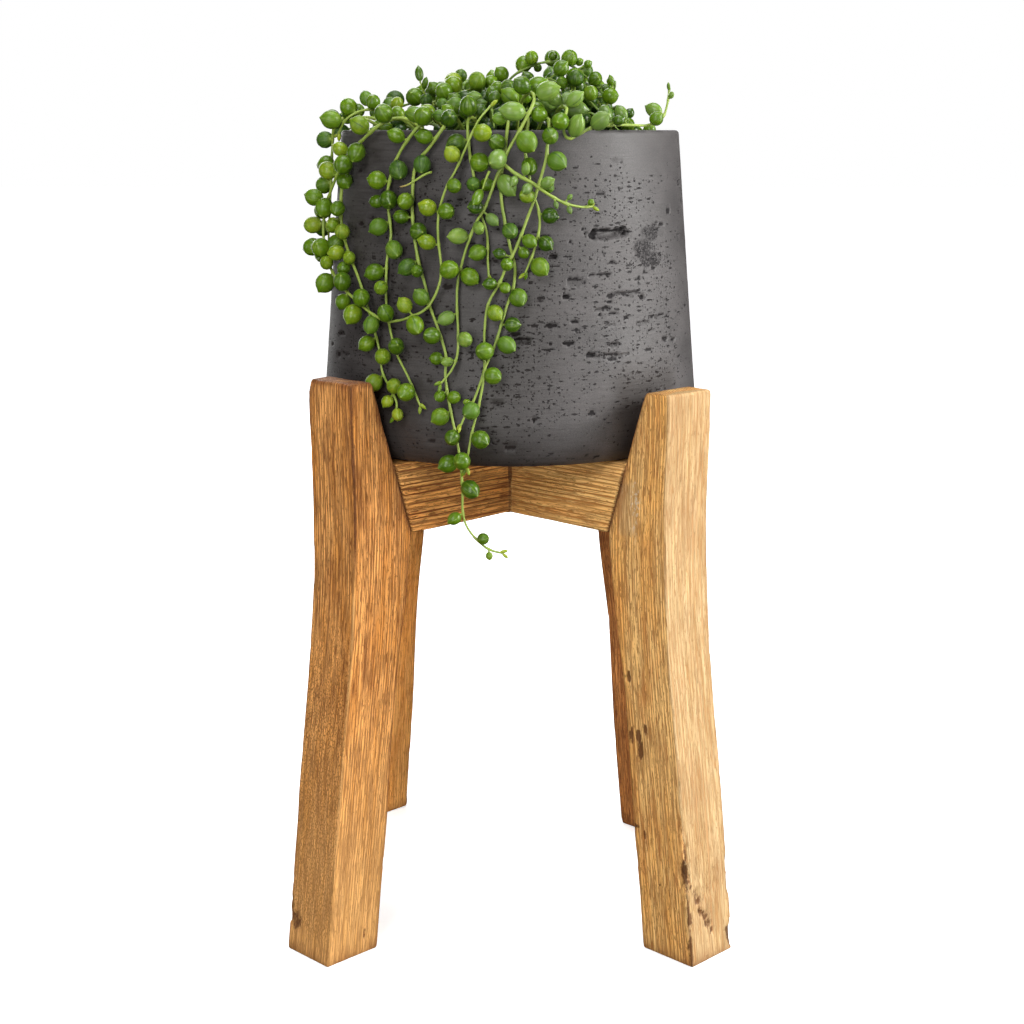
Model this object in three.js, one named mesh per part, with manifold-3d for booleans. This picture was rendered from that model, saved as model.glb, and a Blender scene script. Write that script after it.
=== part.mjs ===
// String of pearls in a concrete pot on a wooden stand.
// Millimetres, Z up. The front of the object faces -Y. Everything is built round the
// pot's axis, and moved at the end so that the origin lies on the floor under the
// middle of the whole part.

import * as THREE from 'three';
import { mergeVertices } from 'three/addons/utils/BufferGeometryUtils.js';
import Module from 'manifold-3d';

const wasm = await Module();
wasm.setup();

// The clearance between pieces that touch on the real object
const seatGap = 0.3;

// Stand
const timber = 32;
const railTop = 244;
const railUnderside = 208.5;
const arris = 1.5;
const headRound = 3;
const legPivotHeight = 260;

// Pot
const potBase = railTop + seatGap;
const rimHeight = 400.3;
const bellyHeight = 266;
const rimRadius = 84.5;
const bellyRadius = 95.6;
const cornerWidth = 12;
const wall = 9;
const potFloor = 14;
const cove = 8;
const rimRound = 2;
const potSides = 36;

// Soil
const soilEdge = 389;
const soilCrown = 394;
const soilReach = 75;
const holeRadius = 2.6;
const holeDepth = 9.3;
const holeSides = 6;

// Plant
const stemRadius = 1.3;
const stemSides = 3;
const stemStep = 7.5;
const rootDepth = 9;
const samplesPerSpan = 8;
const leafSides = 5;
const petiole = 1.4;
const rootSink = 0.6;
const leafGap = 0.4;
const tipMargin = 3;
const leafSpread = 1.25;
const leafLength = 2.2;
const leafSizes = [0.84, 1.14];
const leafLifts = [0.15, 0.55];
const leafJitter = 10;
const leafShift = 2;
const firstSeed = 1201;
const seedStep = 77;

const upright = Math.PI / 2;
const radians = THREE.MathUtils.degToRad;

const concrete = new THREE.MeshStandardMaterial({ color: 0x4a494b, roughness: 0.75, metalness: 0 });
const warmWood = new THREE.MeshStandardMaterial({ color: 0xb97c3f, roughness: 0.7, metalness: 0 });
const paleWood = new THREE.MeshStandardMaterial({ color: 0xd6a35f, roughness: 0.7, metalness: 0 });
const earth = new THREE.MeshStandardMaterial({ color: 0x3a2a1e, roughness: 0.95, metalness: 0 });
const foliage = new THREE.MeshStandardMaterial({ color: 0x5f9632, roughness: 0.4, metalness: 0 });

const model = new THREE.Group();

function addMesh(parent, name, geometry, material) {
  const mesh = new THREE.Mesh(geometry, material);
  mesh.name = name;
  parent.add(mesh);
  return mesh;
}

// Solids for cutting and joining

function toSolid(geometry) {
  const bare = geometry.clone();
  bare.deleteAttribute('normal');
  bare.deleteAttribute('uv');
  const merged = mergeVertices(bare, 1e-4);
  const vertProperties = new Float32Array(merged.attributes.position.array);
  const triVerts = new Uint32Array(merged.index.array);
  return new wasm.Manifold(new wasm.Mesh({ numProp: 3, vertProperties, triVerts }));
}

function toGeometry(solid) {
  const mesh = solid.getMesh();
  const geometry = new THREE.BufferGeometry();
  geometry.setAttribute('position', new THREE.BufferAttribute(mesh.vertProperties, 3));
  geometry.setIndex(new THREE.BufferAttribute(mesh.triVerts, 1));
  geometry.computeVertexNormals();
  return geometry;
}

// Stand: four legs that bend outward to their feet, and two crossed rails

// Each outline point is the distance from the pot's axis and the height. A leg's
// azimuth is in degrees from +X, and its lean is how much farther out its foot stands,
// and how far to the side, than that of a leg that follows the outline exactly.
const legOutside = [[142.5, 0], [133.5, 75], [123, 160], [119.6, 215], [120.5, 262]];
const legInside = [[82.9, railUnderside], [87.3, 173], [95.5, 126], [102, 65], [110, 0]];
const notchSlope = 0.31;

const legs = [
  { name: 'leg_front_left', azimuth: 225, top: 285, lean: [0, 0], material: warmWood },
  { name: 'leg_front_right', azimuth: 315, top: 280, lean: [0, 0], material: paleWood },
  { name: 'leg_rear_left', azimuth: 135, top: 283, lean: [5.5, -12], material: warmWood },
  { name: 'leg_rear_right', azimuth: 45, top: 282, lean: [-11.5, -9.5], material: paleWood },
];

function notchRadius(height) {
  return legInside[0][0] + notchSlope * (height - railUnderside);
}

function asVectors(points) {
  return points.map(([x, y]) => new THREE.Vector2(x, y));
}

function legGeometry(top, lean) {
  const outside = new THREE.SplineCurve(asVectors(legOutside)).getPoints(10);
  const inside = new THREE.SplineCurve(asVectors(legInside)).getPoints(9);
  const outerTop = legOutside[legOutside.length - 1][0];
  const head = asVectors([
    [outerTop, top - headRound],
    [outerTop - headRound, top],
    [notchRadius(top), top],
  ]);
  const outline = new THREE.Shape([...outside, ...head, ...inside]);
  const geometry = new THREE.ExtrudeGeometry(outline, {
    depth: timber - 2 * arris,
    bevelEnabled: true,
    bevelSegments: 1,
    bevelThickness: arris,
    bevelSize: arris,
    bevelOffset: -arris,
  });
  geometry.translate(0, 0, arris - timber / 2);
  geometry.rotateX(upright);
  const [outward, sideways] = lean;
  const shear = new THREE.Matrix4().set(
    1, 0, -outward / legPivotHeight, outward,
    0, 1, -sideways / legPivotHeight, sideways,
    0, 0, 1, 0,
    0, 0, 0, 1,
  );
  return geometry.applyMatrix4(shear);
}

function restOnFloor(geometry) {
  geometry.computeBoundingBox();
  return geometry.translate(0, 0, -geometry.boundingBox.min.z);
}

function addLegs(parent) {
  for (const { name, azimuth, top, lean, material } of legs) {
    const leg = addMesh(parent, name, restOnFloor(legGeometry(top, lean)), material);
    leg.rotation.z = radians(azimuth);
  }
}

function railEnd(azimuth, height) {
  const { lean } = legs.find((leg) => leg.azimuth === azimuth);
  return notchRadius(height) + lean[0] * (1 - height / legPivotHeight) - seatGap;
}

// A rail's outline runs along its diagonal, with a half-lap notch in the middle.
function addRail(parent, name, azimuth, notchFromTop, material) {
  const opposite = azimuth - 180;
  const middle = (railTop + railUnderside) / 2;
  const half = timber / 2 + seatGap;
  const lap = notchFromTop ? middle - seatGap / 2 : middle + seatGap / 2;
  const lower = asVectors([
    [-railEnd(azimuth, railUnderside), railUnderside],
    [railEnd(opposite, railUnderside), railUnderside],
  ]);
  const upper = asVectors([
    [railEnd(opposite, railTop), railTop],
    [-railEnd(azimuth, railTop), railTop],
  ]);
  const edge = notchFromTop ? railTop : railUnderside;
  const notch = asVectors([[half, edge], [half, lap], [-half, lap], [-half, edge]]);
  const outline = notchFromTop
    ? [...lower, upper[0], ...notch, upper[1]]
    : [lower[0], ...notch.reverse(), lower[1], ...upper];
  const geometry = new THREE.ExtrudeGeometry(new THREE.Shape(outline), {
    depth: timber,
    bevelEnabled: false,
  });
  geometry.translate(0, 0, -timber / 2);
  geometry.rotateX(upright);
  const rail = addMesh(parent, name, geometry, material);
  rail.rotation.z = radians(opposite);
}

// Pot: a tapering cylinder with a rounded lower corner, open at the top

function potRadius(height) {
  if (height >= bellyHeight) {
    const share = (height - bellyHeight) / (rimHeight - bellyHeight);
    return THREE.MathUtils.lerp(bellyRadius, rimRadius, share);
  }
  const drop = (bellyHeight - height) / (bellyHeight - potBase);
  return bellyRadius - cornerWidth + cornerWidth * Math.sqrt(Math.max(0, 1 - drop * drop));
}

function innerRadius(height) {
  return potRadius(height) - wall;
}

function potCorner(steps) {
  const points = [];
  for (let i = 0; i <= steps; i += 1) {
    const angle = (i / steps) * upright;
    const height = bellyHeight - (bellyHeight - potBase) * Math.cos(angle);
    points.push([potRadius(height), height]);
  }
  return points;
}

function addPot(parent) {
  const inside = potBase + potFloor;
  const profile = [
    [0, potBase],
    ...potCorner(4),
    [rimRadius, rimHeight - rimRound],
    [rimRadius - rimRound, rimHeight],
    [rimRadius - wall + rimRound, rimHeight],
    [rimRadius - wall, rimHeight - rimRound],
    [innerRadius(bellyHeight + cove), bellyHeight + cove],
    [innerRadius(bellyHeight) - cove, inside],
    [0, inside],
  ];
  const geometry = new THREE.LatheGeometry(asVectors(profile), potSides);
  geometry.rotateX(upright);
  addMesh(parent, 'pot', toGeometry(toSolid(geometry)), concrete);
}

// Soil: it fills the pot and has one plain hole for each stem

function soilTop(radius) {
  return soilCrown - (soilCrown - soilEdge) * (radius / soilReach) ** 2;
}

function soilSolid() {
  const bottom = potBase + potFloor + seatGap;
  const edge = innerRadius(soilEdge) - seatGap;
  const profile = [
    [0, bottom],
    [innerRadius(bellyHeight) - cove - seatGap, bottom],
    [innerRadius(bellyHeight + cove) - seatGap, bellyHeight + cove],
    [edge, soilTop(edge)],
    [edge * 0.6, soilTop(edge * 0.6)],
    [0, soilTop(0)],
  ];
  const geometry = new THREE.LatheGeometry(asVectors(profile), potSides);
  geometry.rotateX(upright);
  return toSolid(geometry);
}

function holeSolid([azimuth, radius]) {
  const top = soilCrown + 2;
  const bottom = soilTop(radius) - holeDepth;
  const geometry = new THREE.CylinderGeometry(holeRadius, holeRadius, top - bottom, holeSides);
  geometry.rotateX(upright);
  const centre = onCircle([azimuth, radius, (top + bottom) / 2]);
  geometry.translate(centre.x, centre.y, centre.z);
  return toSolid(geometry);
}

function addSoil(parent, roots) {
  let solid = soilSolid();
  for (const root of roots) {
    solid = solid.subtract(holeSolid(root));
  }
  addMesh(parent, 'soil', toGeometry(solid), earth);
}

// Stems: the points of each route are azimuth in degrees from the front,
// distance from the pot's axis and height. Leaves grow along stretches of the
// route, given as the first and last point, the spacing and the leaf radius.

const trailingStems = [
  {
    name: 'stem_loop',
    root: [-38, 60],
    route: [[-39, 76, 405], [-43, 88, 403], [-57, 91, 389], [-66, 93, 376], [-74, 95, 360],
      [-72, 96, 345], [-61, 97, 331], [-47, 98, 320], [-36, 99, 313], [-27, 99, 316],
      [-22, 98, 322], [-19, 97, 335], [-20, 96, 352], [-20, 95, 363], [-18, 94.5, 374],
      [-15, 94, 383], [-12, 94.5, 393], [-9, 92, 404], [-6, 84, 411]],
    leaves: [[1, 3, 8, 4.2], [3, 8, 12, 5], [8, 11.5, 9, 4.3], [12, 14, 11, 4.4], [14, 18, 10, 3.8]],
    branch: {
      from: 3,
      route: [[-62, 89.5, 382], [-65, 90, 372], [-65, 90.5, 357], [-59, 91.5, 344], [-52, 92.5, 332],
        [-47, 93.5, 320], [-41, 95, 300], [-39, 96, 288], [-35, 97.5, 280], [-33, 98, 274],
        [-33.5, 98.5, 268]],
      leaves: [[1, 5, 13, 3.8], [6, 9, 7, 4.3], [9, 11, 7, 2.8]],
    },
  },
  {
    name: 'stem_left_front',
    root: [-27, 60],
    route: [[-27, 76, 405], [-27, 88, 403.5], [-33, 89, 394], [-37, 89.5, 384], [-39.5, 90, 371],
      [-38, 91, 358], [-37.5, 91.5, 351], [-39, 92, 339], [-38.5, 93.5, 320], [-36, 95.3, 307],
      [-33, 97, 297], [-29, 98, 287], [-25, 99, 274]],
    leaves: [[1, 5, 9, 4.2], [5, 8.5, 9, 4.5], [9, 11, 8, 4.2], [12.2, 13, 8, 4.4]],
  },
  {
    name: 'stem_longest',
    root: [-19, 58],
    route: [[-19, 76, 405.5], [-19, 88, 403.5], [-24, 89.5, 393], [-29, 89.5, 384], [-30, 90, 371],
      [-29.5, 91, 357], [-27.5, 92, 341], [-25, 93, 330], [-23.5, 93.5, 321], [-20.5, 95, 310],
      [-18, 96, 298], [-18, 97, 288], [-16.5, 98, 274], [-14.7, 99, 261], [-13.5, 99.5, 250],
      [-13, 99, 237], [-13, 98.5, 225], [-12, 98, 218], [-9.5, 97.5, 212], [-6, 97, 207],
      [-2, 97, 205]],
    leaves: [[1, 4, 8, 3.8], [5, 9, 12, 4.2], [13, 16.5, 9, 4.2], [17, 19, 11, 3.2], [20, 21, 7, 2]],
  },
  {
    name: 'stem_front_short',
    root: [-12.5, 58],
    route: [[-12.5, 75, 405], [-12.5, 88, 404], [-12, 88.5, 391], [-11, 89, 383], [-10, 89.7, 374],
      [-8.7, 90.3, 364], [-6.6, 91, 354], [-6.3, 92, 342], [-6, 92.6, 334]],
    leaves: [[1, 5, 8, 4], [6, 9, 13, 3.8]],
  },
  {
    name: 'stem_pale',
    root: [4, 42],
    route: [[5, 56, 412], [7, 76, 417], [6.8, 92, 413], [3, 94, 401], [-0.5, 94.5, 391],
      [-3.5, 94, 380], [-6.6, 94, 367], [-10, 94, 357], [-12.7, 94, 345], [-14.8, 93.7, 332],
      [-15, 94.3, 320], [-14.6, 95, 310], [-14.5, 97, 299], [-15.6, 100, 292],
      [-18.3, 102.5, 285.5]],
    leaves: [[1, 6, 8.5, 5], [7, 9.5, 12, 4], [10, 13, 10, 3.7], [13.3, 14, 7, 2.8]],
    branch: {
      from: 5.5,
      route: [[1.6, 98.5, 381], [5.8, 99.5, 377], [10, 99.5, 372], [14.7, 97.5, 368],
        [19.7, 95, 366], [24, 93.5, 366]],
      leaves: [[1, 3, 8, 2.8], [4, 6, 9, 1.8]],
    },
  },
  {
    name: 'stem_front_crossing',
    root: [11.5, 58],
    route: [[11.5, 75, 405], [11.5, 89, 404], [10.5, 93, 393], [10, 94, 387], [7, 94.5, 371],
      [4.6, 94.5, 360], [1.8, 95, 348], [-0.5, 95.5, 341], [-2.8, 95, 332], [-6, 95.3, 322],
      [-7, 95.6, 310], [-7, 96, 298], [-7.2, 96.8, 291], [-9.8, 98, 278], [-12, 99.5, 271],
      [-13, 101.5, 266]],
    leaves: [[1, 4, 8, 4.2], [5, 7, 14, 3.8], [9, 10.5, 8, 3.6], [14, 16, 14, 1.8]],
  },
  {
    name: 'stem_front_right',
    root: [5.5, 58],
    route: [[5.5, 75, 405.5], [5.5, 88, 404.5], [4.5, 88.7, 393], [5.3, 89, 383], [6.5, 90, 373],
      [8.4, 91, 364], [8.4, 92, 356], [6.6, 92.6, 345], [4.3, 93.2, 336]],
    leaves: [[1, 4, 8, 3.8], [5, 9, 8, 4.1]],
  },
  {
    name: 'stem_front_long',
    root: [-1, 58],
    route: [[-0.5, 75, 405], [-0.5, 87.8, 403.5], [-1.5, 88.2, 391], [-2.5, 88.8, 380],
      [-2.5, 89.6, 370], [-1.4, 90.6, 359], [-0.5, 91.2, 352], [0.6, 91.7, 345],
      [1.5, 92.2, 338], [0.9, 92.7, 329], [-1.1, 93.4, 320], [-2.5, 94.5, 312],
      [-4.4, 97, 302], [-6.6, 99.8, 293], [-7, 100.3, 287], [-8.2, 100.5, 276],
      [-9.9, 101, 264], [-11, 102, 253], [-11.5, 103, 246]],
    leaves: [[1, 4, 9, 3.8], [5, 8, 9, 4], [10, 12.5, 9, 4], [13, 15, 9, 4], [16, 19, 10, 4.2]],
  },
  {
    name: 'stem_over_rim',
    root: [19, 50],
    route: [[18.5, 70, 409], [17.5, 86, 410], [16, 90, 405], [15.8, 90.5, 399], [17.5, 90, 396.5],
      [21, 89, 398.5], [27, 87.5, 402], [38, 86, 402.6], [50, 85.5, 402.6], [57, 86.5, 406],
      [60, 87, 414], [60.5, 87, 419]],
    leaves: [[1, 3, 9, 4.6], [5, 8, 9, 4.8], [9, 10.5, 9, 3.4], [11, 12, 6, 1.6]],
  },
  {
    name: 'stem_left_rim',
    root: [-56, 48],
    route: [[-58, 66, 408], [-60, 78, 410], [-62, 88, 406], [-66, 91, 398]],
    leaves: [[1, 4, 7, 4.4]],
  },
  {
    name: 'stem_left_side',
    root: [-76, 56],
    route: [[-77, 74, 406], [-79, 87, 404], [-84, 89, 391], [-87, 90, 376], [-87, 91, 361],
      [-88, 92, 347], [-90, 92, 336]],
    leaves: [[1, 7, 9, 4.1]],
  },
  {
    name: 'stem_left_rear',
    root: [-110, 56],
    route: [[-110, 74, 406], [-111, 87, 404], [-114, 89, 390], [-116, 90.5, 368], [-112, 92, 346],
      [-113, 93, 326], [-116, 95, 308]],
    leaves: [[1, 4, 9, 4.2], [4, 7, 12, 4]],
  },
  {
    name: 'stem_rear_long',
    root: [-146, 56],
    route: [[-146, 74, 406], [-147, 87.5, 404], [-150, 89.5, 388], [-147, 91, 364], [-151, 93, 340],
      [-148, 95, 315], [-150, 97, 292]],
    leaves: [[1, 4, 9, 4.3], [4, 7, 13, 4]],
  },
  {
    name: 'stem_rear_middle',
    root: [178, 56],
    route: [[178, 74, 406], [178, 87.5, 404], [175, 89.5, 388], [178, 91, 366], [174, 92.5, 346]],
    leaves: [[1, 5, 10, 4.3]],
  },
  {
    name: 'stem_rear_right',
    root: [146, 56],
    route: [[146, 74, 405], [145, 87.5, 403.5], [142, 89, 390], [144, 90.5, 372]],
    leaves: [[1, 4, 9, 4]],
  },
];

function onCircle([azimuth, radius, height]) {
  const angle = radians(azimuth);
  return new THREE.Vector3(radius * Math.sin(angle), -radius * Math.cos(angle), height);
}

// Crown: short stems fan out from the middle of the soil. They rise highest near
// the front of the pot's middle and lie lowest at its right side.

const crownCount = 12;
const crownAzimuth = -170;
const crownHigh = 420;
const crownLow = 408;
const crownLowSide = 80;
const crownShortening = 0.12;
const crownRise = 12;
const innerRing = { start: 11, reach: 46, bend: 9, drop: 0 };
const outerRing = { start: 27, reach: 62, bend: -5, drop: 6 };

function crownStem(index) {
  const azimuth = crownAzimuth + (360 / crownCount) * index;
  const lowness = ((1 + Math.cos(radians(azimuth - crownLowSide))) / 2) ** 2;
  const { start, reach, bend, drop } = index % 2 === 0 ? innerRing : outerRing;
  const end = reach * (1 - crownShortening * lowness);
  const peak = THREE.MathUtils.lerp(crownHigh, crownLow, lowness) - drop;

  return {
    name: `stem_crown_${index + 1}`,
    root: [azimuth, start],
    route: [
      [azimuth, start + 2, (soilCrown + peak) / 2],
      [azimuth + bend, start + crownRise, peak],
      [azimuth + bend, (start + crownRise + end) / 2, peak - 1],
      [azimuth, end, peak - 5],
    ],
    leaves: [[0.6, 4, 6.5, 4.5]],
  };
}

const archStem = {
  name: 'stem_crown_arch',
  root: [-120, 20],
  route: [[-118, 12, 412], [0, 5, 425], [45, 11, 430], [60, 20, 433], [67, 31, 432],
    [70, 41, 425], [72, 49, 417], [73, 53, 418], [73, 54, 424]],
  leaves: [[1, 6.5, 6.5, 4], [7, 9, 6, 2.2]],
};

const stems = [
  ...trailingStems,
  archStem,
  ...Array.from({ length: crownCount }, (_, index) => crownStem(index)),
];

function seeded(seed) {
  let state = seed;
  return () => {
    state = (state * 16807) % 2147483647;
    return state / 2147483647;
  };
}

function between([low, high], share) {
  return THREE.MathUtils.lerp(low, high, share);
}

// A route is sampled evenly between its points, with the length so far.
function sampleRoute(points) {
  const curve = new THREE.CatmullRomCurve3(points, false, 'catmullrom', 0.5);
  const spans = points.length - 1;
  const samples = [];
  let length = 0;
  for (let i = 0; i <= spans * samplesPerSpan; i += 1) {
    const point = curve.getPoint(i / (spans * samplesPerSpan));
    if (i > 0) {
      length += point.distanceTo(samples[i - 1].point);
    }
    samples.push({ point, length });
  }
  return { curve, samples, length };
}

function sampleAt(samples, place) {
  const last = samples.length - 1;
  const next = samples.findIndex((sample) => sample.length >= place);
  const index = Math.max(1, next < 0 ? last : next);
  const [before, after] = [samples[index - 1], samples[index]];
  const share = (place - before.length) / (after.length - before.length);
  const point = before.point.clone().lerp(after.point, Math.min(1, share));
  const tangent = after.point.clone().sub(before.point).normalize();
  return { point, tangent };
}

function rootPoints([azimuth, radius]) {
  const surface = soilTop(radius);
  return [-rootDepth, -3, 3].map((offset) => onCircle([azimuth, radius, surface + offset]));
}

// The root's three points come before the first point of the listed route.
const rootSpans = 2;

function buildRoutes(stem) {
  const points = [...rootPoints(stem.root), ...stem.route.map(onCircle)];
  const main = sampleRoute(points);
  const routes = [{ ...main, leaves: stem.leaves, offset: rootSpans }];
  if (stem.branch) {
    const fork = main.samples[Math.round((stem.branch.from + rootSpans) * samplesPerSpan)].point;
    const branch = sampleRoute([fork, ...stem.branch.route.map(onCircle)]);
    routes.push({ ...branch, leaves: stem.branch.leaves, offset: 0 });
  }
  return routes;
}

// Leaves: each is a round body with a pointed tip, rooted in the middle of its stem

const leafTurns = [55, 80, 30, 100, 5, -55, -80, -30];

function distanceToRim(point) {
  const radius = Math.hypot(point.x, point.y);
  const nearest = THREE.MathUtils.clamp(radius, rimRadius - wall, rimRadius);
  return Math.hypot(radius - nearest, Math.max(0, point.z - rimHeight));
}

function clearOfPot(point, size) {
  const radius = Math.hypot(point.x, point.y);
  if (point.z > rimHeight) {
    return distanceToRim(point) > size && (radius > rimRadius || point.z > soilTop(radius) + size);
  }
  if (radius > rimRadius - wall / 2) {
    return radius > potRadius(point.z) + size;
  }
  return radius < innerRadius(point.z) - size && point.z > soilTop(radius) + size;
}

function clearOfLegs(point, size) {
  return legs.every(({ azimuth, top, lean }) => {
    const local = point.clone().applyAxisAngle(new THREE.Vector3(0, 0, 1), -radians(azimuth));
    const sway = 1 - point.z / legPivotHeight;
    const beside = Math.abs(local.y - lean[1] * sway) > timber / 2 + size;
    const inside = local.x < notchRadius(point.z) + lean[0] * sway - size;
    return beside || inside || point.z > top + size;
  });
}

function clearOfOthers(point, size, name, placed) {
  return placed.every((ball) => {
    const reach = size + ball.size;
    return ball.name === name || ball.point.distanceToSquared(point) > reach * reach;
  });
}

function leafClear(leaf, name, placed) {
  const tip = leaf.root.clone().addScaledVector(leaf.axis, petiole + leafLength * leaf.size);
  const reach = leaf.size + leafGap;
  return [[leaf.centre, reach], [tip, leaf.size * 0.2 + leafGap]].every(([point, size]) => (
    clearOfPot(point, size) && clearOfLegs(point, size) && clearOfOthers(point, size, name, placed)
  ));
}

function leafAt(samples, place, turn, lift, size) {
  const { point, tangent } = sampleAt(samples, place);
  const radial = new THREE.Vector3(point.x, point.y, 0).normalize();
  const away = point.z > rimHeight ? new THREE.Vector3(0, 0, 1) : radial;
  away.addScaledVector(tangent, -away.dot(tangent)).normalize();
  const side = tangent.clone().cross(away);
  const axis = away.multiplyScalar(Math.cos(turn)).addScaledVector(side, Math.sin(turn));
  axis.addScaledVector(tangent, lift).normalize();
  const centre = point.clone().addScaledVector(axis, petiole + size);
  return { root: point, axis, centre, size };
}

function growLeaves(name, route, random, placed) {
  const { samples, leaves, offset, length } = route;
  const grown = [];
  let side = 1;
  for (const [from, to, spacing, radius] of leaves) {
    const lengthAt = (index) => samples[Math.round((index + offset) * samplesPerSpan)].length;
    const end = Math.min(lengthAt(to), length - tipMargin);
    for (let place = lengthAt(from); place <= end; place += leafSpread * spacing) {
      const size = radius * between(leafSizes, random());
      const jitter = radians(between([-leafJitter, leafJitter], random()));
      const lift = between(leafLifts, random());
      const shift = leafShift * random();
      const leaf = leafTurns
        .map((turn) => leafAt(samples, place + shift, side * radians(turn) + jitter, lift, size))
        .find((candidate) => leafClear(candidate, name, placed));
      side = -side;
      if (leaf) {
        grown.push(leaf);
        placed.push({ name, point: leaf.centre, size });
      }
    }
  }
  return grown;
}

function leafSolid({ root, axis, size }) {
  const profile = [
    [0, -rootSink],
    [0.7 * size, petiole + 0.35 * size],
    [size, petiole + size],
    [0.72 * size, petiole + 1.62 * size],
    [0, petiole + leafLength * size],
  ];
  const geometry = new THREE.LatheGeometry(asVectors(profile), leafSides);
  const aim = new THREE.Quaternion().setFromUnitVectors(new THREE.Vector3(0, 1, 0), axis);
  geometry.applyQuaternion(aim);
  geometry.translate(root.x, root.y, root.z);
  return toSolid(geometry);
}

function stemSolid({ curve, length }) {
  const section = new THREE.Shape();
  for (let i = 0; i < stemSides; i += 1) {
    const angle = (i / stemSides) * 2 * Math.PI;
    const corner = [stemRadius * Math.cos(angle), stemRadius * Math.sin(angle)];
    if (i === 0) {
      section.moveTo(...corner);
    } else {
      section.lineTo(...corner);
    }
  }
  section.closePath();
  const geometry = new THREE.ExtrudeGeometry(section, {
    steps: Math.ceil(length / stemStep),
    extrudePath: curve,
    bevelEnabled: false,
  });
  return toSolid(geometry);
}

function addPlant(parent, descriptions) {
  const plants = descriptions.map((stem) => ({ stem, routes: buildRoutes(stem) }));
  const placed = [];
  for (const { stem, routes } of plants) {
    for (const { samples } of routes) {
      placed.push(...samples.map(({ point }) => ({ name: stem.name, point, size: stemRadius })));
    }
  }
  plants.forEach(({ stem, routes }, index) => {
    const random = seeded(firstSeed + seedStep * index);
    let solid = null;
    for (const route of routes) {
      const pieces = growLeaves(stem.name, route, random, placed).map(leafSolid);
      for (const piece of [stemSolid(route), ...pieces]) {
        solid = solid ? solid.add(piece) : piece;
      }
    }
    addMesh(parent, stem.name, toGeometry(solid), foliage);
  });
}

addLegs(model);
addRail(model, 'rail_front_left', 225, true, warmWood);
addRail(model, 'rail_front_right', 315, false, paleWood);
addPot(model);
addSoil(model, stems.map((stem) => stem.root));
addPlant(model, stems);

const middle = new THREE.Box3().setFromObject(model, true).getCenter(new THREE.Vector3());
model.position.set(-middle.x, -middle.y, 0);

export default model;
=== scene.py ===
import math

import bpy
import numpy as np
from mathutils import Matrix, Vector


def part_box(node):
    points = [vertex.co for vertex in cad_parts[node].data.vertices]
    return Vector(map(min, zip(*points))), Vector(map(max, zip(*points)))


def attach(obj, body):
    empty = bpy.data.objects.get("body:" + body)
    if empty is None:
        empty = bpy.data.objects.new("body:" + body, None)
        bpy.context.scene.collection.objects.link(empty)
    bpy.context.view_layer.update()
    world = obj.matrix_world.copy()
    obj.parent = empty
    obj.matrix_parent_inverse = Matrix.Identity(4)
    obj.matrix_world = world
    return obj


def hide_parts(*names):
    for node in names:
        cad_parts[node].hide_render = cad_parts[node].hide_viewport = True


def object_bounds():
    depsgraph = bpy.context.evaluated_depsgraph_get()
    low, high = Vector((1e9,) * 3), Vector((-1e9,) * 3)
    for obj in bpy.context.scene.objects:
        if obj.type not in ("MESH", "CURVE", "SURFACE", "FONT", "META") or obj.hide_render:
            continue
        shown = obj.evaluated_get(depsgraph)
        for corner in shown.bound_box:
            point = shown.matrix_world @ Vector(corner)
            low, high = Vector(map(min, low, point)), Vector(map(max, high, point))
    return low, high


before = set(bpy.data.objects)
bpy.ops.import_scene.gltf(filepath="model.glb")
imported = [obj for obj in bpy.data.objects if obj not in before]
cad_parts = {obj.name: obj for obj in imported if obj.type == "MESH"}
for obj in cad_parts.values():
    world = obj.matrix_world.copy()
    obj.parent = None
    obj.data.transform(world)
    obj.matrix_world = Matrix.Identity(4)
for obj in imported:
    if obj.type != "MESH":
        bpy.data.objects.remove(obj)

# String of pearls in a charcoal concrete pot on a wooden stand.
# Lengths are millimetres from the pot's axis and the floor, as in the part's source.
# add_piece turns them into metres and sets them round the pot's axis in the frame.
METRE = 1000.0
cad_low, cad_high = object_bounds()
pot_low, pot_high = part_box("pot")
pot_axis = np.array([(pot_low.x + pot_high.x) / 2, (pot_low.y + pot_high.y) / 2, 0.0])
QUARTER = math.pi / 2

# Stand
TIMBER = 32.0
RAIL_TOP = 244.0
RAIL_UNDERSIDE = 208.5
SEAT_GAP = 0.3
LEG_PIVOT_HEIGHT = 260.0
LEG_OUTSIDE = ((142.5, 0), (133.5, 75), (123, 160), (119.6, 215), (120.5, 262))
LEG_INSIDE = ((110, 0), (102, 65), (95.5, 126), (87.3, 173), (82.9, RAIL_UNDERSIDE))
LEG_INWARD = 0.35
NOTCH_SLOPE = 0.31

# Pot
POT_BASE = RAIL_TOP + SEAT_GAP
RIM_HEIGHT = 400.3
BELLY_HEIGHT = 266.0
RIM_RADIUS = 84.5
BELLY_RADIUS = 95.6
CORNER_WIDTH = 12.0
WALL = 9.0
POT_FLOOR = 14.0
COVE = 8.0
RIM_ROUND = 2.0

# Soil
SOIL_EDGE = 389.0
SOIL_CROWN = 394.0
SOIL_REACH = 75.0

# Plant
STEM_RADIUS = 1.3
ROOT_DEPTH = 9.0
SAMPLES_PER_SPAN = 8
ROOT_SPANS = 2
PETIOLE = 1.4
LEAF_GAP = 0.4
TIP_MARGIN = 3.0
LEAF_SPREAD = 1.25
LEAF_LENGTH = 2.2
LEAF_SIZES = (0.84, 1.14)
LEAF_LIFTS = (0.15, 0.55)
LEAF_JITTER = 10.0
LEAF_SHIFT = 2.0
LEAF_TURNS = (55, 80, 30, 100, 5, -55, -80, -30)
FIRST_SEED = 1201
SEED_STEP = 77


# Repeatable noise

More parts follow.
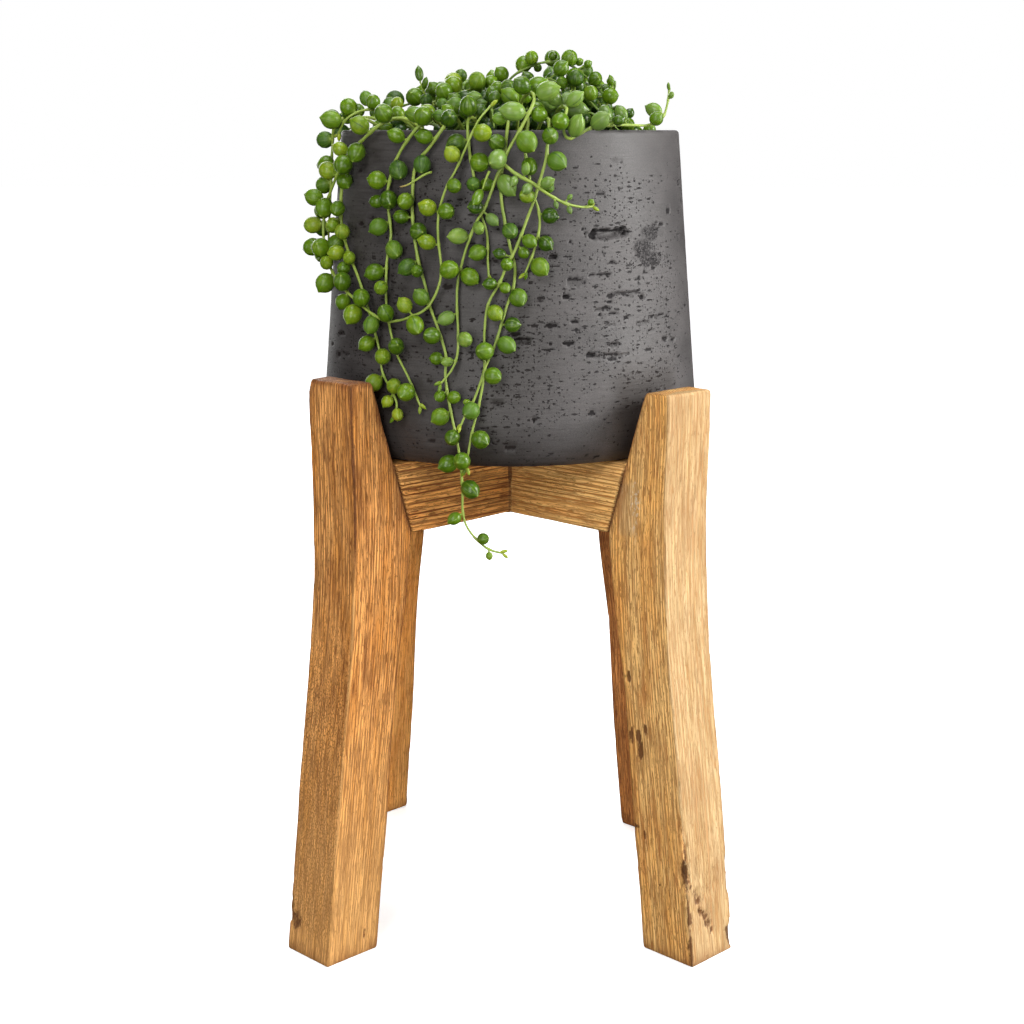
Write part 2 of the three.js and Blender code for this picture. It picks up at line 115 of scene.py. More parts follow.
LATTICE_FACTORS = (374761393, 668265263, 1440662683)
SEED_FACTOR = 974634777
MIXING_FACTOR = 1274126177
LOW_BITS = 0xFFFFFFFF
DRAW_FACTOR = 16807
DRAW_LIMIT = 2147483647


def corner_value(cell, seed):
    """A repeatable number from 0 to 1 for each whole-numbered corner of a lattice."""
    mixed = sum(cell[..., axis] * factor for axis, factor in enumerate(LATTICE_FACTORS))
    mixed = (mixed + seed * SEED_FACTOR) & LOW_BITS
    mixed = ((mixed ^ (mixed >> 13)) * MIXING_FACTOR) & LOW_BITS
    return ((mixed ^ (mixed >> 16)) & 0xFFFF) / 65535.0


def noise(points, size, seed):
    """Smooth noise from -1 to 1, with lumps of the given size along each axis."""
    scaled = np.asarray(points) / np.asarray(size, float)
    cell = np.floor(scaled).astype(np.int64)
    part = scaled - cell
    part = part * part * (3 - 2 * part)
    total = np.zeros(scaled.shape[:-1])
    for corner in np.ndindex(2, 2, 2):
        weight = np.prod(np.where(corner, part, 1 - part), axis=-1)
        total += weight * corner_value(cell + np.array(corner), seed)
    return 2 * total - 1


def smooth_step(low, high, value):
    share = np.clip((value - low) / (high - low), 0, 1)
    return share * share * (3 - 2 * share)


class Draw:
    """The same repeatable random draw as in the part's source."""

    def __init__(self, seed):
        self.state = seed

    def __call__(self, low=0.0, high=1.0):
        self.state = (self.state * DRAW_FACTOR) % DRAW_LIMIT
        return low + (high - low) * self.state / DRAW_LIMIT


# Meshes

def stacked(x, y, z):
    """Points from coordinates whose shapes fit together."""
    return np.stack(np.broadcast_arrays(x, y, z), -1).astype(float)


def unit(vector):
    return vector / np.linalg.norm(vector)


def most(*layers):
    """The largest of several values at each point."""
    return np.max(np.broadcast_arrays(*layers), axis=0)


def with_centres(rings):
    """The points of rows of rings, then the centres of the first and the last ring."""
    return np.concatenate([rings.reshape(-1, 3), [rings[0].mean(0)], [rings[-1].mean(0)]])


class Form:
    """Points, faces and named values at the points, gathered from many smaller forms."""

    def __init__(self):
        self.points = []
        self.faces = []
        self.kinds = []
        self.values = {}
        self.count = 0

    def add(self, points, faces, kind=0, **values):
        """Adds a skin. Each value is one number for the whole skin, or one a point."""
        for block in faces:
            self.faces.extend((block + self.count).tolist())
            self.kinds.extend([kind] * len(block))
        self.points.append(points)
        for name, value in values.items():
            listed = np.full(len(points), float(value)) if np.ndim(value) == 0 else value
            self.values.setdefault(name, []).append(listed)
        self.count += len(points)

    def add_rings(self, rings, grain=None, **looks):
        """Adds a closed skin over rings. Each look fits the rings, and is 0 at the centres of the ends."""
        values = {} if grain is None else {"grain": with_centres(grain)}
        for name, look in looks.items():
            values[name] = np.append(np.broadcast_to(look, rings.shape[:2]), [0, 0])
        self.add(*closed_rings(rings), **values)


def configured(thing, **settings):
    """The same thing, after its settings are made."""
    for key, value in settings.items():
        setattr(thing, key, value)
    return thing


def link(name, data):
    """A new object in the scene."""
    thing = bpy.data.objects.new(name, data)
    bpy.context.scene.collection.objects.link(thing)
    return thing


def add_piece(name, form, materials, replaced):
    mesh = bpy.data.meshes.new(name)
    points = np.concatenate(form.points) / METRE + pot_axis
    mesh.from_pydata(points.tolist(), [], form.faces)
    for key, blocks in form.values.items():
        data = np.concatenate(blocks).astype(np.float32)
        single = data.ndim == 1
        attribute = mesh.attributes.new(key, "FLOAT" if single else "FLOAT_VECTOR", "POINT")
        attribute.data.foreach_set("value" if single else "vector", data.ravel())
    for material in materials:
        mesh.materials.append(material)
    mesh.polygons.foreach_set("material_index", np.array(form.kinds, np.int32))
    mesh.shade_smooth()
    piece = link(name, mesh)
    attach(piece, "root")
    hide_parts(*replaced)


def ring_faces(rows, columns):
    """Quads between rows of points, each row a closed ring."""
    row, column = np.meshgrid(np.arange(rows - 1), np.arange(columns), indexing="ij")
    here = row * columns + column
    beside = row * columns + (column + 1) % columns
    return np.stack([here, beside, beside + columns, here + columns], -1).reshape(-1, 4)


def cap_faces(first, columns, centre, forward):
    """Triangles from a ring to a centre point."""
    here = first + np.arange(columns)
    beside = first + (np.arange(columns) + 1) % columns
    order = [here, beside] if forward else [beside, here]
    return np.stack([*order, np.full(columns, centre)], -1)


def closed_rings(rings):
    """A closed skin over rings of points, with both ends capped. rings is rows x columns x 3."""
    rows, columns = rings.shape[:2]
    count = rows * columns
    faces = [
        ring_faces(rows, columns),
        cap_faces(0, columns, count, False),
        cap_faces(count - columns, columns, count + 1, True),
    ]
    return with_centres(rings), faces


SPLINE_STEPS = 12


def catmull_rom(padded, steps):
    """Points along a Catmull-Rom curve, from the second given point to the last but one."""
    curve = []
    for before, start, end, after in zip(padded, padded[1:], padded[2:], padded[3:]):
        leaving, arriving = (end - before) / 2, (after - start) / 2
        cubic = 2 * start - 2 * end + leaving + arriving
        square = -3 * start + 3 * end - 2 * leaving - arriving
        for share in np.arange(steps) / steps:
            curve.append(start + leaving * share + square * share ** 2 + cubic * share ** 3)
    curve.append(padded[-2])
    return np.array(curve)


def spline(points):
    """A uniform Catmull-Rom curve with doubled end points."""
    listed = np.array(points, float)
    return catmull_rom(np.vstack([listed[:1], listed, listed[-1:]]), SPLINE_STEPS)


# Materials

class Paint:
    """A new material, and the nodes that it is made of. Colours are red, green and blue."""

    def __init__(self, name):
        self.material = bpy.data.materials.new(name)
        self.material.use_nodes = True
        self.tree = self.material.node_tree
        self.shader = self.tree.nodes["Principled BSDF"]

    def feed(self, socket, value):
        """Links a signal to a socket, or sets the socket's own value."""
        if isinstance(value, Signal):
            self.tree.links.new(value.socket, socket)
        else:
            socket.default_value = (*value, 1) if socket.type == "RGBA" else value

    def node(self, kind, inputs=None, output=0, **settings):
        """Adds a node and returns one of its outputs."""
        node = configured(self.tree.nodes.new("ShaderNode" + kind), **settings)
        for key, value in (inputs or {}).items():
            self.feed(node.inputs[key], value)
        return Signal(self, node.outputs[output])

    def attribute(self, name, output="Fac"):
        return self.node("Attribute", None, output, attribute_name=name)

    def place(self):
        """The place on the piece in millimetres."""
        return self.node("TexCoord", None, "Object").stretched(METRE, METRE)

    def blend(self, first, second, share):
        return self.node("Mix", {0: share, 6: first, 7: second}, 2, data_type="RGBA")

    def finish(self, **inputs):
        for key, value in inputs.items():
            self.feed(self.shader.inputs[key.replace("_", " ")], value)
        return self.material


class Signal:
    """An output of a material's node, which adds and multiplies like a number."""

    def __init__(self, paint, socket):
        self.paint = paint
        self.socket = socket

    def output(self, key):
        """Another output of the same node."""
        return Signal(self.paint, self.socket.node.outputs[key])

    def math(self, operation, other=0.0):
        return self.paint.node("Math", {0: self, 1: other}, operation=operation)

    def __add__(self, other):
        return self.math("ADD", other)

    def __sub__(self, other):
        return self.math("SUBTRACT", other)

    def __mul__(self, other):
        return self.math("MULTIPLY", other)

    def most(self, *others):
        """The largest of this and the others."""
        largest = self
        for other in others:
            largest = largest.math("MAXIMUM", other)
        return largest

    def vector_math(self, operation, other=(0, 0, 0), output=0):
        return self.paint.node("VectorMath", {0: self, 1: other}, output, operation=operation)

    def stretched(self, across, along):
        return self.vector_math("MULTIPLY", (across, across, along))

    def speckle(self, across, along, detail=2.0, roughness=0.5):
        """Noise over a place in millimetres: lumps a millimetre along X and Y, and along Z."""
        vector = self.stretched(across, along)
        inputs = {"Vector": vector, "Scale": 1.0, "Detail": detail, "Roughness": roughness}
        return self.paint.node("TexNoise", inputs, "Fac")

    def span(self, low, high, to_low=0.0, to_high=1.0, kind="SMOOTHSTEP"):
        """Maps the value smoothly from one range to another."""
        inputs = {"Value": self, "From Min": low, "From Max": high, "To Min": to_low, "To Max": to_high}
        return self.paint.node("MapRange", inputs, interpolation_type=kind)

    def to(self, colour, share):
        """This colour, blended to another."""
        return self.paint.blend(self, colour, share)

    def bump(self, depth):
        """The surface's direction for a relief so many millimetres deep."""
        inputs = {"Height": self, "Distance": depth / METRE, "Strength": 1.0}
        return self.paint.node("Bump", inputs)


# Two pairs of colours for rubbed, bare timber, each pale and dull; on the front right leg's outward face they
# also paint the sheen where the light falls.
CREAM = ((0.66, 0.485, 0.27), (0.53, 0.36, 0.175))
HONEY = ((0.86, 0.50, 0.19), (0.74, 0.40, 0.13))
# Each timber: its light, middle and deep colours, the colour of its growth lines and how dark
# they are, and its colours where it is rubbed.
TIMBERS = {
    "warm_wood": ((0.95, 0.44, 0.125), (0.73, 0.29, 0.056), (0.37, 0.125, 0.024),
                  (0.15, 0.046, 0.010), 0.76, HONEY),
    "pale_wood": ((0.98, 0.60, 0.215), (0.95, 0.49, 0.132), (0.70, 0.28, 0.070),
                  (0.33, 0.125, 0.032), 0.70, CREAM),
    "orange_wood": ((0.98, 0.47, 0.13), (0.95, 0.40, 0.09), (0.74, 0.28, 0.06),
                    (0.45, 0.15, 0.03), 0.5, HONEY),
    "red_wood": ((0.70, 0.28, 0.078), (0.54, 0.20, 0.05), (0.32, 0.105, 0.026),
                 (0.15, 0.045, 0.012), 0.6, HONEY),
    "warm_rail": ((1.0, 0.50, 0.145), (1.0, 0.44, 0.11), (0.86, 0.31, 0.066),
                  (0.17, 0.050, 0.011), 0.93, HONEY),
    "pale_rail": ((1.0, 0.63, 0.23), (1.0, 0.56, 0.18), (0.95, 0.44, 0.118),
                  (0.40, 0.145, 0.032), 0.88, HONEY),
}
# The gap between growth lines, and how often they break off along the timber.
LEG_LINES = (1.3, 0.028)
RAIL_LINES = (1.5, 0.008)


def wood_material(name):
    """Timber with broken growth lines, short pores, long streaks and broad patches along its length."""
    light, base, deep, line_colour, darkness, (pale, dull) = TIMBERS[name]
    gap, breaks = RAIL_LINES if name.endswith("_rail") else LEG_LINES
    paint = Paint(name)
    grain = paint.attribute("grain", "Vector")
    bleach, scorch, fuzz = [paint.attribute(key) for key in ("bleach", "scorch", "fuzz")]
    drift = grain.speckle(0.03, 0.0022, 1.0) * 9.0
    ripple = grain.speckle(0.35, 0.014) * 1.25
    ring = grain.vector_math("DOT_PRODUCT", (0.8, 0.6, 0.0), "Value") + (drift + ripple)
    wave = (ring * (2 * math.pi / gap)).math("SINE")
    boldness = grain.speckle(0.3, breaks, 3.0, 0.6).span(0.38, 0.54, 0.15, 1.0)
    lines = wave.span(0.3, 0.85) * boldness * fuzz.span(0.0, 1.0, 1.0, 0.35)
    curls = grain.speckle(1.35, 0.75, 2.0, 0.6).span(0.515, 0.60) * (fuzz * 0.78)
    streaks = grain.speckle(0.75, 0.022, 3.0, 0.7).span(0.55, 0.66)
    dashes = grain.speckle(1.15, 0.10, 2.0, 0.6).span(0.58, 0.65)
    pores = grain.speckle(1.5, 0.36, 2.0, 0.6).span(0.60, 0.66)
    fibres = grain.speckle(1.9, 0.05, 3.0, 0.6)
    patches = grain.speckle(0.09, 0.012, 4.0, 0.65)
    smudges = grain.speckle(0.14, 0.026, 4.0, 0.65)
    gleams = grain.speckle(0.45, 0.02, 3.0, 0.65)
    marks = fibres.span(0.50, 0.68, 0.0, 0.80)
    marks = marks.most(lines * darkness, streaks * 0.70, dashes * 0.85, pores * 0.65, curls)
    quiet = bleach.span(0.0, 1.0, 1.0, 0.8)

    colour = paint.blend(base, light, patches.span(0.36, 0.62))
    colour = colour.to(deep, smudges.span(0.50, 0.66, 0.0, 0.62))
    # Bleached timber; on a lit outward face this also paints its sheen.
    colour = colour.to(paint.blend(dull, pale, gleams.span(0.38, 0.62)), bleach)
    colour = colour.to((0.25, 0.080, 0.020), scorch * smudges.span(0.25, 0.6, 0.45, 1.0) * 0.85)
    unburnt = quiet * scorch.span(0.0, 0.8, 1.0, 0.1)
    colour = colour.to(paint.blend(light, pale, 0.3), gleams.span(0.54, 0.68, 0.0, 0.5) * unburnt)
    colour = colour.to(paint.blend(line_colour, (0.44, 0.20, 0.058), bleach), marks * quiet)
    ragged = grain.speckle(1.3, 0.6, 3.0, 0.7) * 0.9
    stain = (paint.attribute("stain") + ragged).span(0.7, 1.15)
    colour = colour.to((0.135, 0.046, 0.012), stain * 0.88)
    chalk = paint.attribute("chalk") * grain.speckle(0.8, 0.5).span(0.5, 0.6)
    colour = colour.to((0.85, 0.74, 0.56), chalk * 0.55)

    relief = (marks * -1.3 + fibres * 0.6) * quiet
    roughness = marks.span(0.0, 1.0, 0.55, 0.78)
    return paint.finish(
        Base_Color=colour, Roughness=roughness, Normal=relief.bump(0.5), Specular_IOR_Level=0.3)


def bubble_dots(place, across, along, largest, share, crowding):
    """Round bubble holes in a share of cells. largest is their largest radius as a part of a cell."""
    wobble = place.speckle(1.3, 1.3, 2.0, 0.6) * 0.5
    vector = place.stretched(across, along).vector_math("ADD", wobble)
    inputs = {"Vector": vector, "Scale": 1.0, "Randomness": 1.0}
    distance = place.paint.node("TexVoronoi", inputs, "Distance")
    red = place.paint.node("SeparateColor", {0: distance.output("Color")})
    radius = (red + crowding).span(1 - share, 1.05, 0.0, largest)
    return distance.span(radius * 0.65, radius, 1.0, 0.0, "LINEAR")


def concrete_material():
    """Charcoal cast concrete: mottled, with fine air-bubble pits drawn out sideways, painted dark as the
    shade inside them.
    """
    paint = Paint("charcoal_concrete")
    place = paint.place()
    damp = paint.attribute("damp")
    clouds = place.speckle(0.022, 0.035, 5.0, 0.6)
    streaks = place.speckle(0.06, 1.1, 3.0, 0.6)
    grit = place.speckle(1.8, 2.6, 2.0, 0.7)
    crowding = place.speckle(0.03, 0.03).span(0.40, 0.62, 0.0, 0.16) + paint.attribute("worn") * 0.19
    slits = bubble_dots(place, 0.19, 0.62, 0.34, 0.20, crowding)
    dots = bubble_dots(place, 0.42, 0.58, 0.36, 0.18, crowding)
    specks = bubble_dots(place, 0.85, 1.05, 0.38, 0.22, crowding)
    voids = slits.most(dots, specks)
    mottle = place.speckle(0.9, 1.2, 3.0, 0.7).span(0.43, 0.50, 0.34, 1.0) * paint.attribute("rough")
    grooves = place.speckle(0.5, 3.2, 2.0, 0.6)
    crumble = place.speckle(2.0, 2.6, 2.0, 0.6)
    # Painted shade inside the sunken voids, broken up by grooves and crumbs.
    inside = paint.attribute("pit") * (grooves * 0.35 + crumble * 0.5 + 0.55)

    colour = paint.blend((0.044, 0.041, 0.042), (0.080, 0.074, 0.075), clouds.span(0.3, 0.7))
    # The streaks darken more where shade is painted.
    colour = colour.to((0.030, 0.027, 0.028), streaks.span(0.35, 0.7) * (damp * 0.9 + 0.3))
    colour = colour.to((0.13, 0.121, 0.118), grit.span(0.4, 0.75, 0.0, 0.45))
    colour = colour.to((0.02, 0.018, 0.019), grit.span(0.25, 0.45, 0.35, 0.0))
    # Painted shade: the fine pits in the rough patches, the bubble holes and the sunken voids are darkened as
    # the shade inside them.
    colour = colour.to((0.012, 0.011, 0.012), mottle * 0.80)
    colour = colour.to((0.010, 0.009, 0.010), voids * 0.68)
    colour = colour.to((0.008, 0.007, 0.008), inside.span(0.22, 0.92, 0.0, 0.84))
    # Painted shade: a warm dark brown where the wall is shaded, on the left away from the light, under the
    # belly and beside the legs.
    colour = colour.to((0.014, 0.0085, 0.006), damp * 0.8)

    relief = voids * -1.0 + grit * 0.14 + streaks * 0.3
    shine = voids.most(mottle, inside.span(0.22, 0.86)).span(0.0, 1.0, 0.5, 0.12)
    roughness = clouds.span(0.3, 0.7, 0.52, 0.64)
    return paint.finish(
        Base_Color=colour, Roughness=roughness, Specular_IOR_Level=shine, Normal=relief.bump(0.4))


def soil_material():
    paint = Paint("potting_mix")
    place = paint.place()
    crumbs = place.speckle(0.45, 0.45, 4.0, 0.65)
    fibres = place.speckle(1.8, 1.8, 3.0, 0.6)
    colour = paint.blend((0.012, 0.008, 0.006), (0.05, 0.032, 0.02), crumbs.span(0.3, 0.7))
    colour = colour.to((0.16, 0.1, 0.06), paint.attribute("tone"))
    relief = crumbs + fibres * 0.4
    return paint.finish(Base_Color=colour, Normal=relief.bump(1.2), Roughness=0.95)


def leaf_material():
    """Round succulent leaves: dark to yellow-green, with a dark window slit and faint lengthwise veins."""
    paint = Paint("pearl_leaf")
    leaf = paint.attribute("leaf", "Vector")
    chance = paint.attribute("chance")
    facing = paint.node("SeparateXYZ", {0: leaf})
    sideways, along = facing.output(1), facing.output(2)
    place = paint.place()
    blotch = place.speckle(0.35, 0.35, 3.0)
    mixed = blotch + place.speckle(1.5, 1.5) * 0.7
    shade = paint.attribute("tone") + (mixed - 0.85) * 0.45
    veins = leaf.speckle(5.0, 0.5)
    slit = sideways.math("ABSOLUTE").span(0.03, 0.1, 1.0, 0.0) * facing.span(0.0, 0.2)
    slit = slit * along.span(0.12, 0.25) * along.span(0.78, 0.92, 1.0, 0.0)
    slit = slit * chance.span(0.3, 0.6, 0.1, 1.0)
    ends = along.span(-0.05, 0.1, 1.0, 0.0).most(along.span(0.93, 1.0))

    colour = paint.blend((0.016, 0.050, 0.002), (0.092, 0.180, 0.004), shade.span(0.0, 0.55))
    colour = colour.to((0.29, 0.36, 0.018), shade.span(0.5, 1.0))
    colour = colour.to((0.050, 0.130, 0.016), chance.span(0.74, 1.0, 0.0, 0.45))
    colour = colour.to((0.24, 0.36, 0.10), paint.attribute("faded"))
    colour = colour.to((0.30, 0.43, 0.07), veins.span(0.52, 0.66, 0.0, 0.26))
    colour = colour.to((0.012, 0.05, 0.01), slit * 0.6)
    colour = colour.to((0.26, 0.36, 0.06), ends * 0.7)

    relief = blotch * 0.3 - slit
    return paint.finish(
        Base_Color=colour, Roughness=chance.span(0.3, 1.0, 0.32, 0.48), Normal=relief.bump(0.08),
        Specular_IOR_Level=0.38, Subsurface_Weight=0.12, Subsurface_Radius=(0.35, 1.0, 0.15),
        Subsurface_Scale=0.002)


def stem_material():
    paint = Paint("stem_skin")
    place = paint.place()
    blotch = place.speckle(0.25, 0.12, 3.0)
    fine = place.speckle(1.8, 1.8)
    shade = paint.attribute("tone") + (blotch - 0.5) * 0.8
    colour = paint.blend((0.085, 0.17, 0.02), (0.30, 0.40, 0.06), shade.span(0.0, 1.0))
    colour = colour.to((0.36, 0.38, 0.11), fine.span(0.5, 0.8, 0.0, 0.35))
    colour = colour.to((0.42, 0.25, 0.11), paint.attribute("faded"))
    return paint.finish(
        Base_Color=colour, Normal=fine.bump(0.15), Roughness=0.48, Subsurface_Weight=0.12,
        Subsurface_Radius=(0.6, 1.0, 0.2), Subsurface_Scale=0.001)


def floor_material():
    """White, and brighter away from the piece, so that it melts into the backdrop."""
    paint = Paint("floor_paint")
    away = paint.node("TexCoord", None, "Object").vector_math("LENGTH", output="Value")
    return paint.finish(
        Base_Color=(0.9, 0.9, 0.9), Roughness=0.9, Specular_IOR_Level=0.1, Emission_Color=(1.0, 1.0, 1.0),
        Emission_Strength=away.span(0.25, 1.6, 0.52, 1.05))


# Timber: rounded rectangles along a length, with worn edges and shallow wear

SIDE_POINTS = 24
CORNER_POINTS = 5
CORNER_SIGNS = ((1, 1), (-1, 1), (-1, -1), (1, -1))
# What remains of the section at each of the rings that close an end.
END_SHARES = (0.3, 0.7, 0.93)


def rounded_section(half_a, half_b, radii):
    """Rounded rectangles, one a row, anticlockwise from the +A side. radii is rows x 4 corners."""
    arcs = []
    for corner, (sign_a, sign_b) in enumerate(CORNER_SIGNS):
        angle = np.linspace(0, QUARTER, CORNER_POINTS) + corner * QUARTER
        radius = radii[:, corner, None]
        a = sign_a * (half_a[:, None] - radius) + radius * np.cos(angle)
        b = sign_b * (half_b[:, None] - radius) + radius * np.sin(angle)
        arcs.append(np.stack([a, b], -1))
    share = np.linspace(0, 1, SIDE_POINTS + 2)[1:-1, None]
    blocks = []
    for arc, following in zip(arcs, arcs[1:] + arcs[:1]):
        start, end = arc[:, -1:], following[:, :1]
        blocks += [arc, start + (end - start) * share]
    return np.concatenate(blocks, 1)


def section_normals():
    """The outward direction of each column of rounded_section, and how far it is round a corner."""
    angles = []
    edges = []
    share = np.linspace(0, 1, CORNER_POINTS)
    for corner in range(4):
        angles += [*(corner * QUARTER + share * QUARTER), *[(corner + 1) * QUARTER] * SIDE_POINTS]
        edges += [*np.sin(share * math.pi), *[0.0] * SIDE_POINTS]
    return np.stack([np.cos(angles), np.sin(angles)], -1), np.array(edges)


NORMALS, EDGES = section_normals()


def corner_radii(along, size, typical, seed):
    """The radius of each corner of a section at places along a timber, a little uneven."""
    return np.stack([typical + 0.5 * noise(along, size, seed + corner) for corner in range(4)], -1)


def wear(local, seed):
    """How deep the worn surface lies below the sawn one: waves, grooves along the grain, nicked edges."""
    waves = 0.22 * (1 + noise(local, (34, 34, 55), seed))
    grooves = 0.14 * np.maximum(0, noise(local, (2.6, 2.6, 48), seed + 1))
    nicks = EDGES * 1.1 * smooth_step(0.35, 0.9, noise(local, (5, 5, 9), seed + 2))
    return waves + grooves + nicks


def dent(local, centre, size, seed):
    """A share from 0 to 1 for each point, within an uneven patch round a centre."""
    offset = (local - np.array(centre)) / np.array(size)
    ragged = 0.35 * noise(local, (1.7, 1.7, 2.6), seed) + 0.3 * noise(local, (0.9, 0.9, 4.5), seed + 1)
    return smooth_step(1.0, 0.5, np.linalg.norm(offset, axis=-1) + ragged)


# Where a leg is dented or chipped: centre and size along (outward, sideways, up), depth and stain.
LEG_MARKS = {
    "leg_front_right": [
        ((97.6, -16, 139.4), (2.3, 3, 4.2), 0.8, 1.0), ((100.6, -16, 110), (1.7, 3, 6.0), 0.5, 1.0),
        ((104.6, -16, 110.5), (2.4, 3, 4.6), 0.7, 1.0), ((106.2, -16, 102.5), (2.0, 3, 6.4), 0.9, 1.0),
        ((109.0, -16, 114.5), (1.8, 3, 2.8), 0.5, 1.0), ((104.5, -16, 63), (2.2, 3, 1.6), 0.6, 0.9),
        ((109.8, -16, 60), (1.4, 3, 2.4), 0.5, 0.9), ((119.8, -16, 36.4), (1.1, 3, 1.2), 0.6, 0.9),
        ((136.5, -15.5, 52), (4.5, 3.2, 20), 1.8, 0.75), ((139.0, -7.0, 33), (5.0, 8.5, 9.0), 0.7, 0.34),
        ((140.0, -1.0, 21), (5.0, 6.0, 10.0), 0.5, 0.36), ((139.0, 1.0, 38), (5.0, 5.5, 9.0), 0.4, 0.34),
        ((141.5, 14.5, 8), (5.0, 3.5, 8.0), 1.5, 0.65), ((134.0, -16, 72), (4.0, 3, 6.0), 1.0, 0.4),
        ((141.0, -15.6, 9), (2.6, 2.2, 13.0), 0.2, 0.74), ((139.4, -15.6, 27), (2.6, 2.2, 13.0), 0.3, 0.76),
        ((135.6, -15.6, 60), (2.4, 2.0, 15.0), 0.3, 0.58), ((137.0, 16, 36), (3.0, 2.5, 14.0), 0.9, 0.4),
    ],
    "leg_front_left": [
        ((141.0, -15, 22), (3.5, 3.5, 13), 0.9, 0.5), ((141.0, -11, 16), (3.0, 5.0, 7), 0.5, 0.6),
        ((120.0, -15, 284), (4.0, 5.0, 3), 1.2, 0.3), ((111.0, 16, 130), (6.0, 3.0, 24), 0.3, 0.25),
        ((117.8, 16, 9), (1.0, 3.0, 6), 0.5, 0.8), ((98.0, 16, 214), (3.0, 3.0, 4), 0.6, 0.3),
    ],
    "leg_rear_left": [((120.0, 15, 220), (3, 4, 14), 1.2, 0.3), ((139.0, 2, 30), (4, 4, 9), 1.0, 0.5)],
    "leg_rear_right": [((121.0, -15, 120), (3, 4, 12), 1.2, 0.3), ((120.0, 3, 262), (4, 3, 4), 0.8, 0.6)],
}
CHIP_COUNT = 36
CHIP_SEED = 606


def torn_line():
    """Small chips along a torn line that slants down across the front right leg's foot."""
    draw = Draw(CHIP_SEED)
    marks = []
    for count in range(CHIP_COUNT):
        share = count / (CHIP_COUNT - 1)
        side = -14.5 + 15 * share + draw(-1.2, 1.2)
        height = 47 - 33 * share ** 0.8 + draw(-2.2, 2.2)
        size = (5.0, draw(0.8, 1.6), draw(1.0, 2.6))
        marks.append(((139.6, side, height), size, draw(0.3, 0.8), draw(0.7, 1.15) - 0.3 * share))
    return marks


LEG_MARKS["leg_front_right"] += torn_line()
# Beside the rail's end on one leg: pale flecks of lime and a rubbed patch, each with centre and size.
LIMED_LEG = "leg_front_right"
LIME_FLECKS = ((100.5, -16, 226), (3.2, 3, 15.0))
RUBBED_PATCH = ((95.5, -16, 222), (5.6, 3, 13.0))
# Each leg: where it stands, which of its edges faces front, how far its foot leans outward and
# sideways, and how far its outward face is bleached and painted with sheen where the light falls,
# pale low down, scorched all over and reddened towards its top.
PLAIN_LEG = {"lean": (0, 0), "bleach": 0.0, "pale_low": 0.0, "scorch": 0.0, "red_top": 0.0}
LEGS = (
    {**PLAIN_LEG, "name": "leg_front_left", "azimuth": 225, "top": 285, "front": 0, "seed": 11,
     "wood": "warm_wood", "slot": "warm_wood", "pale_low": 0.72, "red_top": 1.0},
    {**PLAIN_LEG, "name": "leg_front_right", "azimuth": 315, "top": 280, "front": 3, "seed": 23,
     "wood": "pale_wood", "slot": "pale_wood", "bleach": 0.86},
    {**PLAIN_LEG, "name": "leg_rear_left", "azimuth": 135, "top": 283, "front": 1, "seed": 37,
     "wood": "orange_wood", "slot": "warm_wood", "red_top": 0.3, "lean": (5.5, -12)},
    {**PLAIN_LEG, "name": "leg_rear_right", "azimuth": 45, "top": 282, "front": 2, "seed": 41,
     "wood": "red_wood", "slot": "pale_wood", "scorch": 0.1, "lean": (-11.5, -9.5)},
)
# The rows of points up a leg are closer in its foot, where the finest chips are.
ROW_STEP = 1.9
FOOT_HEIGHT = 62
FOOT_ROW_STEP = 1.2
# The grain of each leg and rail is shifted by this much for each step of its seed.
LEG_GRAIN_SHIFT = 9.7
RAIL_GRAIN_SHIFT = 13.1


def notch_radius(height):
    return LEG_INSIDE[-1][0] + NOTCH_SLOPE * (height - RAIL_UNDERSIDE)


def turned(local, azimuth):
    angle = math.radians(azimuth)
    outward = np.array([math.cos(angle), math.sin(angle), 0])
    sideways = np.array([-math.sin(angle), math.cos(angle), 0])
    upward = np.array([0.0, 0, 1])
    return local[..., :1] * outward + local[..., 1:2] * sideways + local[..., 2:] * upward


def edge_distance(local, outer, inner, signs):
    """How far each point of a leg lies from one of its long edges, along either face beside it."""
    inward = (outer[:, None] - local[..., 0]) if signs[0] > 0 else (local[..., 0] - inner[:, None])
    return np.maximum(inward, TIMBER / 2 - signs[1] * local[..., 1])


def leg_rows(top):
    """Heights up a leg, two insets that round its ends, and the share of the section that remains.

    The first inset is for the outward face, whose top edge is worn rounder than the others.
    """
    foot = np.arange(3.0, FOOT_HEIGHT, FOOT_ROW_STEP)
    lower = np.arange(FOOT_HEIGHT + 1.0, RAIL_UNDERSIDE - 1, ROW_STEP)
    upper = np.arange(RAIL_UNDERSIDE + ROW_STEP, top - 4.5, ROW_STEP)
    head = [top - 3.0, top - 2.2, top - 1.4, top - 0.8, top - 0.3, top]
    sole = [0, 0, 0, 0, 0.3, 0.9]
    heights = np.concatenate([sole, foot, lower, [RAIL_UNDERSIDE], upper, head, [top, top, top]])
    marks = [0, 0.3, 0.9, 3, *head]
    rounder = np.interp(heights, marks, [0.9, 0.4, 0.1, 0, 0, 0.05, 0.15, 0.3, 0.6, 1.2])
    sharper = np.interp(heights, marks, [0.9, 0.4, 0.1, 0, 0, 0, 0.05, 0.15, 0.4, 0.9])
    share = np.ones(len(heights))
    share[:3] = END_SHARES
    share[-3:] = END_SHARES[::-1]
    return heights, rounder, sharper, share


